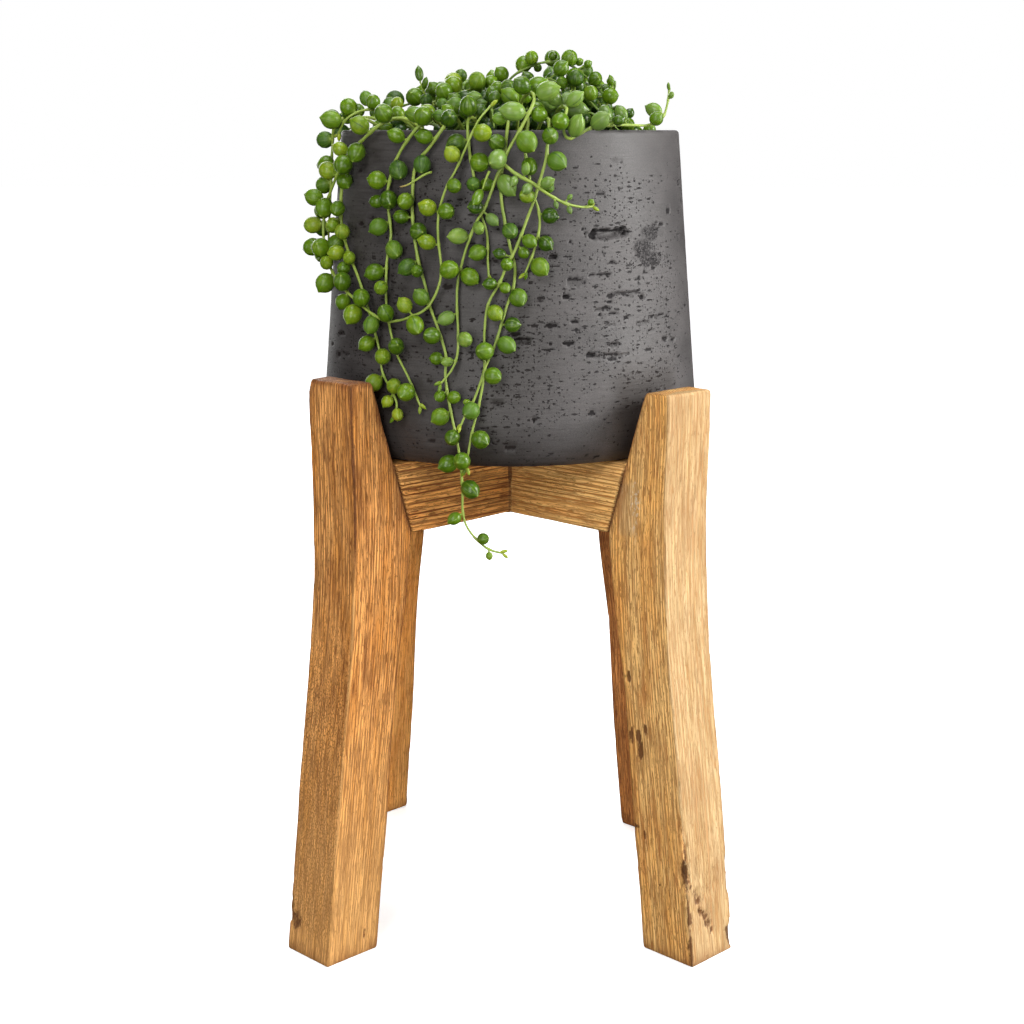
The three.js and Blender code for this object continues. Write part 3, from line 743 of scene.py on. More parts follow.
def leg_rings(leg):
    """A leg's sawn surface in its own axes, its outer and inner faces, and the share of each row."""
    heights, rounder, sharper, share = leg_rows(leg["top"])
    outside, inside = spline(LEG_OUTSIDE), spline(LEG_INSIDE)
    outer = np.interp(heights, outside[:, 1], outside[:, 0]) - rounder - LEG_INWARD
    below = np.interp(heights, inside[:, 1], inside[:, 0])
    inner = np.where(heights > RAIL_UNDERSIDE, notch_radius(heights), below) + sharper
    radii = corner_radii(stacked(0, 0, heights), (1, 1, 31), 1.0, leg["seed"])
    section = rounded_section((outer - inner) / 2, TIMBER / 2 - sharper, radii) * share[:, None, None]
    middle = (outer + inner)[:, None] / 2
    return stacked(middle + section[..., 0], section[..., 1], heights[:, None]), outer, inner, share


def leg_looks(leg, local, outer, inner, stain):
    """Where a leg is bleached and, on a bleached outward face, painted with sheen, limed, scorched, fuzzy and
    stained, each from 0 to 1 at every point.
    """
    top, seed, red_top = leg["top"], leg["seed"], leg["red_top"]
    height = local[..., 2]
    outward, sideways = smooth_step(0.2, 0.8, NORMALS).T
    to_edges = [edge_distance(local, outer, inner, signs) for signs in CORNER_SIGNS]
    front_edge = smooth_step(1.9, 0.5, to_edges.pop(leg["front"]))
    other_edges = most(*[smooth_step(2.2, 0.2, distance) for distance in to_edges])
    creased = red_top * smooth_step(180, 215, height)
    cut = smooth_step(7, 0, local[..., 0] - inner[:, None]) * smooth_step(204, 212, height)

    rubbed = front_edge * smooth_step(-0.6, 0.2, noise(local, (6, 6, 21), seed + 3)) * (1 - creased)
    pale_low = leg["pale_low"] * (0.75 + 0.25 * sideways) * smooth_step(150, 20, height)
    # An outward face's bleach also paints the sheen where the light falls on it.
    bleach = most(leg["bleach"] * outward, pale_low, 0.75 * rubbed)
    chalk = 0
    if leg["name"] == LIMED_LEG:
        chalk = dent(local, *LIME_FLECKS, 91)
        offset = np.abs((local - np.array(RUBBED_PATCH[0])) / np.array(RUBBED_PATCH[1])).max(-1)
        bleach = most(bleach, 0.5 * smooth_step(1.1, 0.85, offset + 0.1 * noise(local, (4, 4, 6), 92)))

    head = (0.35 - 0.1 * smooth_step(0.0, 0.8, NORMALS[:, 1])) * smooth_step(top - 34, top - 6, height)
    head = head + 0.8 * smooth_step(top - 3.5, top - 0.8, height)
    scorch = leg["scorch"] + 0.75 * other_edges + 0.6 * smooth_step(9, 0, height) + red_top * head
    scorch = scorch + creased * front_edge + 0.5 * cut + 0.3 * noise(local, (6, 6, 14), seed + 9)
    return {
        "bleach": bleach,
        "chalk": chalk,
        "scorch": np.clip(scorch, 0, 1),
        "fuzz": red_top * outward * smooth_step(200, 130, height) * smooth_step(8, 16, height),
        "stain": most(stain, 0.42 * cut, 0.60 * creased * front_edge, 0.44 * other_edges),
    }


def add_leg(leg, material):
    local, outer, inner, share = leg_rings(leg)
    depth = wear(local, leg["seed"])
    stain = np.zeros(depth.shape)
    for centre, size, deep, dark in LEG_MARKS[leg["name"]]:
        patch = dent(local, centre, size, leg["seed"] + 7)
        depth = depth + deep * patch
        stain = np.maximum(stain, dark * patch)
    looks = leg_looks(leg, local, outer, inner, stain)
    grain = local - stacked(outer, 0, 0)[:, None] + leg["seed"] * LEG_GRAIN_SHIFT
    at_top = local[..., 2] > leg["top"] - 2

    local[..., :2] -= NORMALS * np.where((share == 1)[:, None], depth, 0)[..., None]
    top_wave = 0.3 * (1 + noise(local, (9, 9, 50), leg["seed"] + 5))
    local[..., 2] -= np.where(at_top, top_wave, 0)
    sway = (1 - local[..., 2] / LEG_PIVOT_HEIGHT)[..., None]
    local[..., :2] += np.array(leg["lean"]) * sway
    form = Form()
    form.add_rings(turned(local, leg["azimuth"]), grain, **looks)
    add_piece(leg["name"] + "_timber", form, [material], [leg["name"]])


# Rails: each runs along a diagonal, with half of its height cut away where the other one crosses

RAIL_REACH = 86
RAIL_ROWS = 44
NOTCH_ROWS = 16


def rail_end(azimuth, height):
    lean = next(leg["lean"][0] for leg in LEGS if leg["azimuth"] == azimuth)
    return notch_radius(height) + lean * (1 - height / LEG_PIVOT_HEIGHT) - SEAT_GAP


def rail_rows():
    """Places along a rail, the share of the section that remains there, and which are in the notch."""
    half = TIMBER / 2 + SEAT_GAP
    outer = np.concatenate([[RAIL_REACH] * 3, np.linspace(half, RAIL_REACH, RAIL_ROWS)[::-1]])
    outer_share = np.concatenate([END_SHARES, np.ones(RAIL_ROWS)])
    places = np.concatenate([-outer, np.linspace(-half, half, NOTCH_ROWS), outer[::-1]])
    share = np.concatenate([outer_share, np.ones(NOTCH_ROWS), outer_share[::-1]])
    return places, share, np.repeat([False, True, False], [len(outer), NOTCH_ROWS, len(outer)])


def add_rail(name, azimuth, notch_from_top, rubbed, material, seed):
    places, share, notched = rail_rows()
    middle = (RAIL_TOP + RAIL_UNDERSIDE) / 2
    high = np.where(notched & notch_from_top, middle - SEAT_GAP / 2, RAIL_TOP)
    low = np.where(notched & (not notch_from_top), middle + SEAT_GAP / 2, RAIL_UNDERSIDE)
    radii = corner_radii(stacked(places, 0, 0), (23, 1, 1), 1.3, seed)
    radii[:, 1] += 3.4 * smooth_step(20, 75, places)
    inset = np.interp(np.abs(places), [0, RAIL_REACH - 1.5, RAIL_REACH], [0, 0, 0.4])
    section = rounded_section(TIMBER / 2 - inset, (high - low) / 2 - inset, radii) * share[:, None, None]
    local = stacked(places[:, None], section[..., 0], (high + low)[:, None] / 2 + section[..., 1])

    grain = local[..., [1, 2, 0]]
    depth = np.where((share == 1)[:, None] & ~notched[:, None], wear(grain, seed), 0)
    local[..., 1:] -= NORMALS * depth[..., None]
    height = local[..., 2]
    end = np.where(local[..., 0] > 0, rail_end(azimuth, height), rail_end(azimuth - 180, height))
    local[..., 0] *= 1 + (end / RAIL_REACH - 1) * smooth_step(18, 60, np.abs(local[..., 0]))

    away = np.abs(places)[:, None]
    above = smooth_step(middle - 2, middle + 2, height)
    seam = smooth_step(1.7, 0.5, np.abs(away - TIMBER / 2 - SEAT_GAP)) * (0.55 + 0.55 * above)
    bleach = rubbed * smooth_step(22, 60, places)[:, None] * smooth_step(RAIL_TOP - 15, RAIL_TOP - 6, height)
    form = Form()
    form.add_rings(
        turned(local, azimuth), grain + seed * RAIL_GRAIN_SHIFT, bleach=bleach, chalk=0, fuzz=0,
        scorch=0.36 * smooth_step(24, 17, away), stain=most(seam, 0.62 * smooth_step(83.8, 85.4, away)))
    add_piece(name + "_timber", form, [material], [name])


# Pot: a turned profile whose wall carries pits and voids

# The wall's grid is finer on the front right, where the clearest voids are.
FINE_FROM, FINE_TO = -12, 68
FINE_COLUMNS = 232
COARSE_COLUMNS = 300
FINE_LOW, FINE_HIGH = 293, 360
FINE_ROWS = 96
CORNER_ROWS = 16
LOW_ROWS = 22
HIGH_ROWS = 28
RIM_ROWS = 5
# The wall's radius, near enough, for lengths round it.
ARC_RADIUS = 90
LARGE_PITS = 64
FINE_PITS = 54
PIT_SEED = 77

# The clearest voids: azimuth from the front, height, half length, half height, depth.
POT_VOIDS = (
    (31.3, 353.0, 10.4, 2.4, 3.4), (26.4, 352.8, 2.6, 2.7, 3.6), (36.9, 353.4, 3.2, 2.8, 3.2),
    (19.8, 331.1, 5.6, 2.7, 1.2), (28.1, 334.1, 6.5, 0.9, 1.3), (37.3, 325.0, 9.5, 1.1, 1.6),
    (43.8, 322.6, 2.2, 1.6, 1.8), (31.5, 324.4, 2.4, 1.5, 1.0), (28.7, 318.1, 5.0, 0.9, 1.2),
    (32.1, 315.8, 4.0, 0.8, 1.0), (43.6, 310.4, 5.0, 1.3, 1.4), (51.5, 312.6, 6.5, 1.0, 1.2),
    (3.4, 304.9, 5.6, 1.5, 2.2), (1.4, 308.0, 3.0, 1.2, 1.2), (17.3, 303.2, 2.8, 1.1, 1.8),
    (30.8, 296.5, 12.0, 0.9, 1.1), (24.0, 297.4, 2.6, 1.3, 1.6), (11.9, 311.6, 2.9, 1.2, 1.7),
    (0.4, 254.4, 2.9, 1.4, 1.6), (-3.8, 275.9, 3.4, 1.0, 1.5), (13.0, 343.2, 2.2, 1.2, 1.4),
    (16.9, 324.7, 2.0, 1.1, 1.6), (54.4, 301.5, 2.6, 1.0, 1.4), (32.3, 301.5, 3.2, 0.9, 1.2),
    (61.1, 362.2, 2.6, 1.8, 0.9), (22.5, 248.2, 8.0, 1.6, 0.8), (23.9, 270.1, 2.1, 1.2, 1.1),
    (6.7, 268.5, 1.6, 1.4, 1.4), (-5.7, 340.8, 4.6, 1.0, 1.2), (28.9, 371.4, 3.0, 1.0, 1.1),
    (35.2, 385.6, 4.0, 0.9, 0.9), (-67.0, 382.0, 5.0, 2.0, 1.6), (-63.0, 377.0, 3.0, 1.6, 1.5),
)
# Voids no longer than this are painted dark all over as the shade inside them, and longer ones most of all at
# their upper brink, as painted shadow.
SMALL_VOID = 3.2
# Rough patches: azimuth, height, half width, half height.
POT_PATCHES = (
    (50.5, 352.0, 9.0, 5.0), (46.0, 346.0, 8.0, 4.5), (48.5, 341.0, 11.5, 4.5),
    (-66, 381, 9, 5), (150, 330, 16, 9), (-120, 300, 14, 8),
)


def degrees_from(azimuth, other):
    return (azimuth - other + 180) % 360 - 180


def pot_radius(height):
    height = np.asarray(height, float)
    taper = RIM_RADIUS - BELLY_RADIUS
    tapered = BELLY_RADIUS + taper * (height - BELLY_HEIGHT) / (RIM_HEIGHT - BELLY_HEIGHT)
    drop = np.clip((BELLY_HEIGHT - height) / (BELLY_HEIGHT - POT_BASE), 0, 1)
    rounded = BELLY_RADIUS - CORNER_WIDTH + CORNER_WIDTH * np.sqrt(1 - drop * drop)
    return np.where(height >= BELLY_HEIGHT, tapered, rounded)


def pot_profile():
    """Radius and height from the middle of the underside, up the wall, over the rim and down inside."""
    heights = np.concatenate([
        BELLY_HEIGHT - (BELLY_HEIGHT - POT_BASE) * np.cos(np.linspace(0, QUARTER, CORNER_ROWS)),
        np.linspace(BELLY_HEIGHT, FINE_LOW, LOW_ROWS)[1:],
        np.linspace(FINE_LOW, FINE_HIGH, FINE_ROWS)[1:],
        np.linspace(FINE_HIGH, RIM_HEIGHT - RIM_ROUND, HIGH_ROWS)[1:],
    ])
    turn = np.linspace(0, QUARTER, RIM_ROWS)[1:]
    rim = (RIM_RADIUS, RIM_HEIGHT) - RIM_ROUND * (1 - np.stack([np.cos(turn), np.sin(turn)], -1))
    inner_rim = rim[::-1] * (-1, 1) + (2 * RIM_RADIUS - WALL, 0)
    inner_heights = np.array([396, 392, 388, 380, 350, 310, BELLY_HEIGHT + COVE])
    foot = float(pot_radius(BELLY_HEIGHT)) - WALL - COVE
    underside = [(share * float(pot_radius(POT_BASE)), POT_BASE) for share in (0.05, 0.5, 0.85, 0.96)]
    wall = np.stack([pot_radius(heights), heights], -1)
    inner_wall = np.stack([pot_radius(inner_heights) - WALL, inner_heights], -1)
    floor = [(share * foot, POT_BASE + POT_FLOOR) for share in (1, 0.5, 0.05)]
    return np.concatenate([underside, wall, rim, inner_rim, inner_wall, floor])


def scattered_pits(draw):
    """Larger voids scattered round most of the wall, and smaller ones where its grid is finer."""
    pits = []
    for _ in range(LARGE_PITS):
        length = 1.8 + 3.2 * draw() ** 2
        turn = draw(FINE_TO, 360 + FINE_FROM)
        pits.append((turn, draw(254, 390), length, 1.0 + 0.4 * draw(), 0.8 + 0.8 * draw()))
    for _ in range(FINE_PITS):
        length = 0.9 + 3.0 * draw() ** 2
        pits.append((draw(2, 60), draw(FINE_LOW, FINE_HIGH), length, 0.5 + 0.3 * draw(), 0.6 + 0.6 * draw()))
    return pits


def sink_voids(rings, azimuth, height, outer, depth):
    """Sinks the voids into the wall, and returns how far each point is inside one, as painted shade: all over
    in small voids, most at a long void's upper brink.
    """
    pit = np.zeros(depth.shape)
    for turn, level, half_length, half_height, deep in [*POT_VOIDS, *scattered_pits(Draw(PIT_SEED))]:
        rows = outer & (np.abs(height - level) < half_height * 1.8)
        away = np.radians(degrees_from(azimuth, turn)) * ARC_RADIUS
        columns = np.abs(away) < half_length * 1.5
        spot = np.ix_(rows, columns)
        across = away[columns] / half_length
        up = (height[rows, None] - level) / half_height
        ragged = 0.24 * noise(rings[spot], (3.1, 3.1, 1.9), 6) + 0.26 * noise(rings[spot], (1.0, 1.0, 0.8), 7)
        share = smooth_step(1.0, 0.8, np.sqrt(up ** 2 + across ** 2) + ragged)
        floor = 0.85 + 0.3 * noise(rings[spot], (3.0, 3.0, 0.8), 10)
        depth[spot] = np.maximum(depth[spot], deep * share * floor)
        brink = most(smooth_step(0.2, 0.6, up), smooth_step(0.7, 0.9, np.abs(across)))
        small = half_length < SMALL_VOID
        pit[spot] = np.maximum(pit[spot], share * (1.0 if small else 0.45 + 0.55 * brink))
    return pit


def roughen(rings, azimuth, depth):
    """Sinks shallow patches where the skin has broken up, and returns how broken each point is."""
    broken = np.zeros(depth.shape)
    for turn, level, half_width, half_height in POT_PATCHES:
        away = np.radians(degrees_from(azimuth, turn))[None] * ARC_RADIUS / half_width
        up = (rings[..., 2] - level) / half_height
        near = (np.abs(away) < 1.6) & (np.abs(up) < 1.6) & (depth > 0)
        distance = np.sqrt(up ** 2 + away ** 2)[near] + 0.4 * noise(rings[near], (3.4, 3.4, 2.6), 12)
        share = smooth_step(1.15, 0.5, distance)
        holes = smooth_step(-0.1, 0.6, noise(rings[near], (1.5, 1.5, 1.1), 13))
        depth[near] += share * (0.25 + 0.15 * holes)
        broken[near] = np.maximum(broken[near], share)
    return broken


def dampness(azimuth, height):
    """How far the concrete is painted darker as shade: on the left, away from the light, low down under the
    belly, and in the shadow next to the legs.
    """
    left = smooth_step(24, -8, azimuth) * smooth_step(-120, -70, azimuth) + smooth_step(222, 262, azimuth)
    left = 0.68 * left
    low = 0.08 * smooth_step(288, 250, height)
    damp = np.maximum(left, low) + 0.35 * np.minimum(left, low)
    for leg in LEGS:
        away = np.abs(degrees_from(azimuth, leg["azimuth"] + 90))
        damp = np.maximum(damp, 0.95 * smooth_step(17, 9, away) * smooth_step(296, 280, height))
    return damp


def wornness(azimuth, height):
    """How crowded the small bubble pits are: more in three areas of the wall, fewer near the rim."""
    right = smooth_step(1.1, 0.4, np.hypot((azimuth - 36) / 34, (height - 325) / 48))
    middle = smooth_step(1.2, 0.5, np.hypot((azimuth + 3) / 19, (height - 284) / 34))
    left = smooth_step(1.2, 0.5, np.hypot((degrees_from(azimuth, 0) + 52) / 24, (height - 300) / 60))
    return right + middle + 0.8 * left - 1.2 * smooth_step(378, 392, height)


def add_pot(material):
    fine = np.linspace(FINE_FROM, FINE_TO, FINE_COLUMNS, endpoint=False)
    coarse = np.linspace(FINE_TO, FINE_FROM + 360, COARSE_COLUMNS, endpoint=False)
    azimuth = np.concatenate([fine, coarse])
    around = np.cos(np.radians(azimuth - 90)), np.sin(np.radians(azimuth - 90))
    radius, height = pot_profile().T
    outer = (radius > pot_radius(height) - 0.01) & (height < RIM_HEIGHT - 1) & (height > POT_BASE + 0.5)
    rings = stacked(radius[:, None] * around[0], radius[:, None] * around[1], height[:, None])
    unevenness = 0.18 * (1 + noise(rings, (38, 38, 30), 3)) + 0.05 * (1 + noise(rings, (9, 9, 2.5), 4))
    depth = np.where(outer[:, None], unevenness, 0)
    pit = sink_voids(rings, azimuth, height, outer, depth)
    broken = roughen(rings, azimuth, depth)
    rings[..., 0] -= depth * around[0]
    rings[..., 1] -= depth * around[1]
    form = Form()
    form.add_rings(
        rings, pit=pit, rough=broken, worn=wornness(azimuth, height[:, None]),
        damp=dampness(azimuth, height[:, None]))
    add_piece("pot_concrete", form, [material], ["pot"])


# Soil: a crumbly top on the filling, with loose crumbs lying on it

SOIL_COLUMNS = 160
SOIL_ROWS = 50
CRUMB_COUNT = 420
CRUMB_SEED = 4242


def soil_top(radius):
    return SOIL_CROWN - (SOIL_CROWN - SOIL_EDGE) * (radius / SOIL_REACH) ** 2


def soil_surface(x, y):
    spot = stacked(x, y, 0)
    lumps = 0.9 * noise(spot, (9, 9, 1), 8) + 0.6 * noise(spot, (3.4, 3.4, 1), 9)
    return soil_top(np.hypot(x, y)) + lumps


def crumb(centre, size, draw):
    """A small uneven lump: three rings of five points, closed at both ends."""
    rings = []
    for tilt in (-50, 0, 50):
        turn = np.radians(np.arange(5) * 72 + 360 * draw())
        swell = np.array([draw(0.75, 1.15) for _ in range(5)]) * math.cos(math.radians(tilt))
        rise = math.sin(math.radians(tilt)) * draw(0.7, 1)
        rings.append(stacked(swell * np.cos(turn), swell * np.sin(turn), rise))
    return closed_rings(np.array(rings) * size + centre)


def add_soil(material):
    angle = np.linspace(0, 2 * math.pi, SOIL_COLUMNS, endpoint=False)
    bottom = POT_BASE + POT_FLOOR + SEAT_GAP
    edge, belly, cove = pot_radius((SOIL_EDGE, BELLY_HEIGHT, BELLY_HEIGHT + COVE)) - WALL - SEAT_GAP
    foot = belly - COVE
    lower = [(foot * 0.1, bottom), (foot, bottom), (cove, BELLY_HEIGHT + COVE), (edge, soil_top(edge) - 3)]
    rings = [stacked(radius * np.cos(angle), radius * np.sin(angle), height) for radius, height in lower]
    for radius in [edge - 0.3, *np.linspace(edge - 1.5, 1.0, SOIL_ROWS)]:
        x, y = radius * np.cos(angle), radius * np.sin(angle)
        rings.append(stacked(x, y, soil_surface(x, y)))
    form = Form()
    form.add_rings(np.array(rings), tone=0)
    draw = Draw(CRUMB_SEED)
    for _ in range(CRUMB_COUNT):
        radius, turn = (edge - 3) * math.sqrt(draw()), draw(0, 2 * math.pi)
        size = 0.7 + 1.5 * draw() ** 2
        x, y = radius * math.cos(turn), radius * math.sin(turn)
        centre = np.array([x, y, soil_surface(x, y) + 0.3 * size])
        form.add(*crumb(centre, size, draw), tone=draw() ** 2)
    add_piece("soil_mix", form, [material], ["soil"])


# Plant. Each route's points are azimuth in degrees from the front, distance from the pot's
# axis and height. Leaves grow along stretches of a route: first and last point, spacing, radius.
# tone runs from dark green, 0, to yellow-green, 1, and long is how far a leaf is drawn out.

def plan(name, tone, root, route, leaves, **more):
    """One stem. It may also have a branch, and long leaves."""
    return {"name": name, "tone": tone, "root": root, "route": route, "leaves": leaves, **more}


TRAILING_STEMS = (
    plan("stem_loop", 0.62, (-38, 60), [
        (-39, 76, 405), (-43, 88, 403), (-57, 91, 389), (-66, 93, 376), (-74, 95, 360), (-72, 96, 345),
        (-61, 97, 331), (-47, 98, 320), (-36, 99, 313), (-27, 99, 316), (-22, 98, 322), (-19, 97, 335),
        (-20, 96, 352), (-20, 95, 363), (-18, 94.5, 374), (-15, 94, 383), (-12, 94.5, 393), (-9, 92, 404),
        (-6, 84, 411),
    ], [(1, 3, 8, 4.2), (3, 8, 12, 5), (8, 11.5, 9, 4.3), (12, 14, 11, 4.4), (14, 18, 10, 3.8)], branch={
        "from": 3,
        "route": [(-62, 89.5, 382), (-65, 90, 372), (-65, 90.5, 357), (-59, 91.5, 344), (-52, 92.5, 332),
                  (-47, 93.5, 320), (-41, 95, 300), (-39, 96, 288), (-35, 97.5, 280), (-33, 98, 274),
                  (-33.5, 98.5, 268)],
        "leaves": [(1, 5, 13, 3.8), (6, 9, 7, 4.3), (9, 11, 7, 2.8)],
    }),
    plan("stem_left_front", 0.5, (-27, 60), [
        (-27, 76, 405), (-27, 88, 403.5), (-33, 89, 394), (-37, 89.5, 384), (-39.5, 90, 371),
        (-38, 91, 358), (-37.5, 91.5, 351), (-39, 92, 339), (-38.5, 93.5, 320), (-36, 95.3, 307),
        (-33, 97, 297), (-29, 98, 287), (-25, 99, 274),
    ], [(1, 5, 9, 4.2), (5, 8.5, 9, 4.5), (9, 11, 8, 4.2), (12.2, 13, 8, 4.4)]),
    plan("stem_longest", 0.45, (-19, 58), [
        (-19, 76, 405.5), (-19, 88, 403.5), (-24, 89.5, 393), (-29, 89.5, 384), (-30, 90, 371),
        (-29.5, 91, 357), (-27.5, 92, 341), (-25, 93, 330), (-23.5, 93.5, 321), (-20.5, 95, 310),
        (-18, 96, 298), (-18, 97, 288), (-16.5, 98, 274), (-14.7, 99, 261), (-13.5, 99.5, 250),
        (-13, 99, 237), (-13, 98.5, 225), (-12, 98, 218), (-9.5, 97.5, 212), (-6, 97, 207), (-2, 97, 205),
    ], [(1, 4, 8, 3.8), (5, 9, 12, 4.2), (13, 16.5, 9, 4.2), (17, 19, 11, 3.2), (20, 21, 7, 2)]),
    plan("stem_front_short", 0.4, (-12.5, 58), [
        (-12.5, 75, 405), (-12.5, 88, 404), (-12, 88.5, 391), (-11, 89, 383), (-10, 89.7, 374),
        (-8.7, 90.3, 364), (-6.6, 91, 354), (-6.3, 92, 342), (-6, 92.6, 334),
    ], [(1, 5, 8, 4), (6, 9, 13, 3.8)]),
    plan("stem_pale", 0.46, (4, 42), [
        (5, 56, 412), (7, 76, 417), (6.8, 92, 413), (3, 94, 401), (-0.5, 94.5, 391), (-3.5, 94, 380),
        (-6.6, 94, 367), (-10, 94, 357), (-12.7, 94, 345), (-14.8, 93.7, 332), (-15, 94.3, 320),
        (-14.6, 95, 310), (-14.5, 97, 299), (-15.6, 100, 292), (-18.3, 102.5, 285.5),
    ], [(1, 6, 8.5, 5), (7, 9.5, 12, 4), (10, 13, 10, 3.7), (13.3, 14, 7, 2.8)], long=1.15, branch={
        "from": 5.5,
        "route": [(1.6, 98.5, 381), (5.8, 99.5, 377), (10, 99.5, 372), (14.7, 97.5, 368), (19.7, 95, 366),
                  (24, 93.5, 366)],
        "leaves": [(1, 3, 8, 2.8), (4, 6, 9, 1.8)],
    }),
    plan("stem_front_crossing", 0.5, (11.5, 58), [
        (11.5, 75, 405), (11.5, 89, 404), (10.5, 93, 393), (10, 94, 387), (7, 94.5, 371), (4.6, 94.5, 360),
        (1.8, 95, 348), (-0.5, 95.5, 341), (-2.8, 95, 332), (-6, 95.3, 322), (-7, 95.6, 310), (-7, 96, 298),
        (-7.2, 96.8, 291), (-9.8, 98, 278), (-12, 99.5, 271), (-13, 101.5, 266),
    ], [(1, 4, 8, 4.2), (5, 7, 14, 3.8), (9, 10.5, 8, 3.6), (14, 16, 14, 1.8)]),
    plan("stem_front_right", 0.42, (5.5, 58), [
        (5.5, 75, 405.5), (5.5, 88, 404.5), (4.5, 88.7, 393), (5.3, 89, 383), (6.5, 90, 373),
        (8.4, 91, 364), (8.4, 92, 356), (6.6, 92.6, 345), (4.3, 93.2, 336),
    ], [(1, 4, 8, 3.8), (5, 9, 8, 4.1)]),
    plan("stem_front_long", 0.38, (-1, 58), [
        (-0.5, 75, 405), (-0.5, 87.8, 403.5), (-1.5, 88.2, 391), (-2.5, 88.8, 380), (-2.5, 89.6, 370),
        (-1.4, 90.6, 359), (-0.5, 91.2, 352), (0.6, 91.7, 345), (1.5, 92.2, 338), (0.9, 92.7, 329),
        (-1.1, 93.4, 320), (-2.5, 94.5, 312), (-4.4, 97, 302), (-6.6, 99.8, 293), (-7, 100.3, 287),
        (-8.2, 100.5, 276), (-9.9, 101, 264), (-11, 102, 253), (-11.5, 103, 246),
    ], [(1, 4, 9, 3.8), (5, 8, 9, 4), (10, 12.5, 9, 4), (13, 15, 9, 4), (16, 19, 10, 4.2)]),
    plan("stem_over_rim", 0.46, (19, 50), [
        (18.5, 70, 409), (17.5, 86, 410), (16, 90, 405), (15.8, 90.5, 399), (17.5, 90, 396.5),
        (21, 89, 398.5), (27, 87.5, 402), (38, 86, 402.6), (50, 85.5, 402.6), (57, 86.5, 406),
        (60, 87, 414), (60.5, 87, 419),
    ], [(1, 3, 9, 4.6), (5, 8, 9, 4.8), (9, 10.5, 9, 3.4), (11, 12, 6, 1.6)], long=1.15),
    plan("stem_left_rim", 0.6, (-56, 48), [
        (-58, 66, 408), (-60, 78, 410), (-62, 88, 406), (-66, 91, 398),
    ], [(1, 4, 7, 4.4)]),
    plan("stem_left_side", 0.3, (-76, 56), [
        (-77, 74, 406), (-79, 87, 404), (-84, 89, 391), (-87, 90, 376), (-87, 91, 361), (-88, 92, 347),
        (-90, 92, 336),
    ], [(1, 7, 9, 4.1)]),
    plan("stem_left_rear", 0.42, (-110, 56), [
        (-110, 74, 406), (-111, 87, 404), (-114, 89, 390), (-116, 90.5, 368), (-112, 92, 346),
        (-113, 93, 326), (-116, 95, 308),
    ], [(1, 4, 9, 4.2), (4, 7, 12, 4)]),
    plan("stem_rear_long", 0.45, (-146, 56), [
        (-146, 74, 406), (-147, 87.5, 404), (-150, 89.5, 388), (-147, 91, 364), (-151, 93, 340),
        (-148, 95, 315), (-150, 97, 292),
    ], [(1, 4, 9, 4.3), (4, 7, 13, 4)]),
    plan("stem_rear_middle", 0.4, (178, 56), [
        (178, 74, 406), (178, 87.5, 404), (175, 89.5, 388), (178, 91, 366), (174, 92.5, 346),
    ], [(1, 5, 10, 4.3)]),
    plan("stem_rear_right", 0.42, (146, 56), [
        (146, 74, 405), (145, 87.5, 403.5), (142, 89, 390), (144, 90.5, 372),
    ], [(1, 4, 9, 4)]),
)
ARCH_STEM = plan("stem_crown_arch", 0.22, (-120, 20), [
    (-118, 12, 412), (0, 5, 425), (45, 11, 430), (60, 20, 433), (67, 31, 432), (70, 41, 425),
    (72, 49, 417), (73, 53, 418), (73, 54, 424),
], [(1, 6.5, 6.5, 4), (7, 9, 6, 2.2)])
CROWN_COUNT = 12
CROWN_AZIMUTH = -170
CROWN_HIGH = 420
CROWN_LOW = 408
CROWN_LOW_SIDE = 80
CROWN_SHORTENING = 0.12
CROWN_RISE = 12
# Crown stems stand in two rings by turns: where they start and end, their bend and their drop.
INNER_RING = (11, 46, 9, 0)
OUTER_RING = (27, 62, -5, 6)


def crown_stem(index):
    azimuth = CROWN_AZIMUTH + 360 / CROWN_COUNT * index
    lowness = ((1 + math.cos(math.radians(azimuth - CROWN_LOW_SIDE))) / 2) ** 2
    start, reach, bend, drop = INNER_RING if index % 2 == 0 else OUTER_RING
    end = reach * (1 - CROWN_SHORTENING * lowness)
    peak = CROWN_HIGH + (CROWN_LOW - CROWN_HIGH) * lowness - drop
    return plan(f"stem_crown_{index + 1}", 0.2 + 0.06 * (index % 3), (azimuth, start), [
        (azimuth, start + 2, (SOIL_CROWN + peak) / 2),
        (azimuth + bend, start + CROWN_RISE, peak),
        (azimuth + bend, (start + CROWN_RISE + end) / 2, peak - 1),
        (azimuth, end, peak - 5),
    ], [(0.6, 4, 6.5, 4.5)])


STEMS = [*TRAILING_STEMS, ARCH_STEM, *[crown_stem(index) for index in range(CROWN_COUNT)]]


def on_circle(azimuth, radius, height):
    angle = math.radians(azimuth)
    return np.array([radius * math.sin(angle), -radius * math.cos(angle), height])


class Route:
    """A curve through points, sampled evenly between them, with the length so far."""

    def __init__(self, points, leaves=(), offset=0):
        listed = np.array(points)
        padded = np.vstack([2 * listed[0] - listed[1], listed, 2 * listed[-1] - listed[-2]])
        self.points = catmull_rom(padded, SAMPLES_PER_SPAN)
        steps = np.linalg.norm(np.diff(self.points, axis=0), axis=1)
        self.lengths = np.concatenate([[0], np.cumsum(steps)])
        self.length = self.lengths[-1]
        self.leaves = leaves
        self.offset = offset

    def length_at(self, index):
        return self.lengths[int(math.floor((index + self.offset) * SAMPLES_PER_SPAN + 0.5))]

    def at(self, place):
        index = int(np.searchsorted(self.lengths, place))
        index = min(max(1, index), len(self.lengths) - 1)
        before, after = self.points[index - 1], self.points[index]
        share = (place - self.lengths[index - 1]) / (self.lengths[index] - self.lengths[index - 1])
        return before + (after - before) * min(1, share), unit(after - before)


